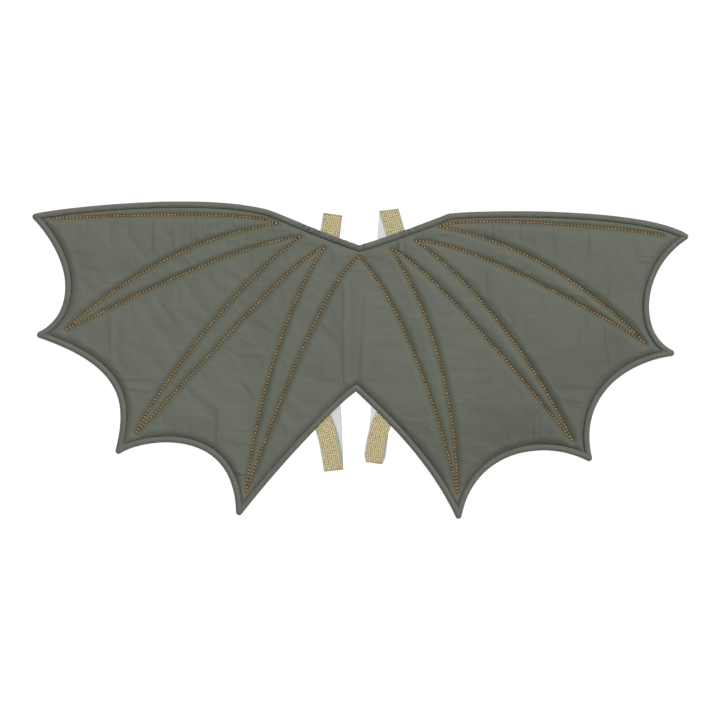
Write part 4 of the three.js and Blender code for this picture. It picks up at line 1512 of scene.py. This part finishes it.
class WINGS_OT_stage(bpy.types.Operator):
    """Set the floor, the light and the camera"""

    bl_idname = "wings.stage"
    bl_label = "Stage"

    def execute(self, context):
        scene = context.scene
        corners = FLOOR_HALF * np.array([[-1, -1, 0], [1, -1, 0], [1, 1, 0], [-1, 1, 0]])
        floor = fill_mesh("floor", corners, np.array([[0, 1, 2, 3]]), [floor_finish()])
        for name, (azimuth, elevation, apparent) in LIGHTS.items():
            sun = bpy.data.lights.new(name, "SUN")
            sun.energy = KEY_SHARE * np.pi / np.sin(np.radians(elevation))
            sun.angle = np.radians(apparent)
            light = bpy.data.objects.new(name, sun)
            light.rotation_euler = (0, np.radians(90 - elevation), np.radians(azimuth))
            scene.collection.objects.link(light)
            lit = bpy.data.collections.new(name)
            light.light_linking.receiver_collection = lit
            if name == "loop_light":
                light.light_linking.blocker_collection = lit
        bpy.data.collections["key"].objects.link(floor)
        world = bpy.data.worlds.new("studio")
        world.use_nodes = True
        sky = world.node_tree.nodes["Background"]
        sky.inputs["Color"].default_value = (1, 1, 1, 1)
        sky.inputs["Strength"].default_value = 1 - KEY_SHARE
        scene.world = world
        view = bpy.data.cameras.new("camera")
        view.lens = LENS_MM
        view.sensor_width = SENSOR_MM
        camera = bpy.data.objects.new("camera", view)
        camera.location = (CAMERA_X, 0, CAMERA_LEVEL + PHOTO_WIDTH * LENS_MM / SENSOR_MM)
        scene.collection.objects.link(camera)
        scene.camera = camera
        scene.view_settings.view_transform = "Standard"
        return {"FINISHED"}


class WINGS_PT_sidebar(bpy.types.Panel):
    """Lists the pieces and what can be changed on them"""

    bl_idname = "WINGS_PT_sidebar"
    bl_label = "Dragon wings"
    bl_space_type = "VIEW_3D"
    bl_region_type = "UI"
    bl_category = "Wings"

    def draw(self, context):
        layout = self.layout
        for group in (context.scene.wings_sizes, context.scene.wings_colours):
            for name in group.__annotations__:
                layout.prop(group, name)
        for operator in OPERATORS:
            layout.operator(operator.bl_idname)


OPERATORS = (WINGS_OT_stage, WINGS_OT_panel, WINGS_OT_piping, WINGS_OT_arm_loops, WINGS_OT_stitches)
CLASSES = (WingsSizes, WingsColours, *OPERATORS, WINGS_PT_sidebar)


def register():
    for kind in CLASSES:
        bpy.utils.register_class(kind)
    bpy.types.Scene.wings_sizes = bpy.props.PointerProperty(type=WingsSizes)
    bpy.types.Scene.wings_colours = bpy.props.PointerProperty(type=WingsColours)


def unregister():
    del bpy.types.Scene.wings_colours
    del bpy.types.Scene.wings_sizes
    for kind in reversed(CLASSES):
        bpy.utils.unregister_class(kind)


def main():
    register()
    bpy.ops.wings.stage()
    bpy.ops.wings.panel()
    bpy.ops.wings.piping()
    bpy.ops.wings.arm_loops()
    bpy.ops.wings.stitches()


if __name__ == "__main__":
    main()
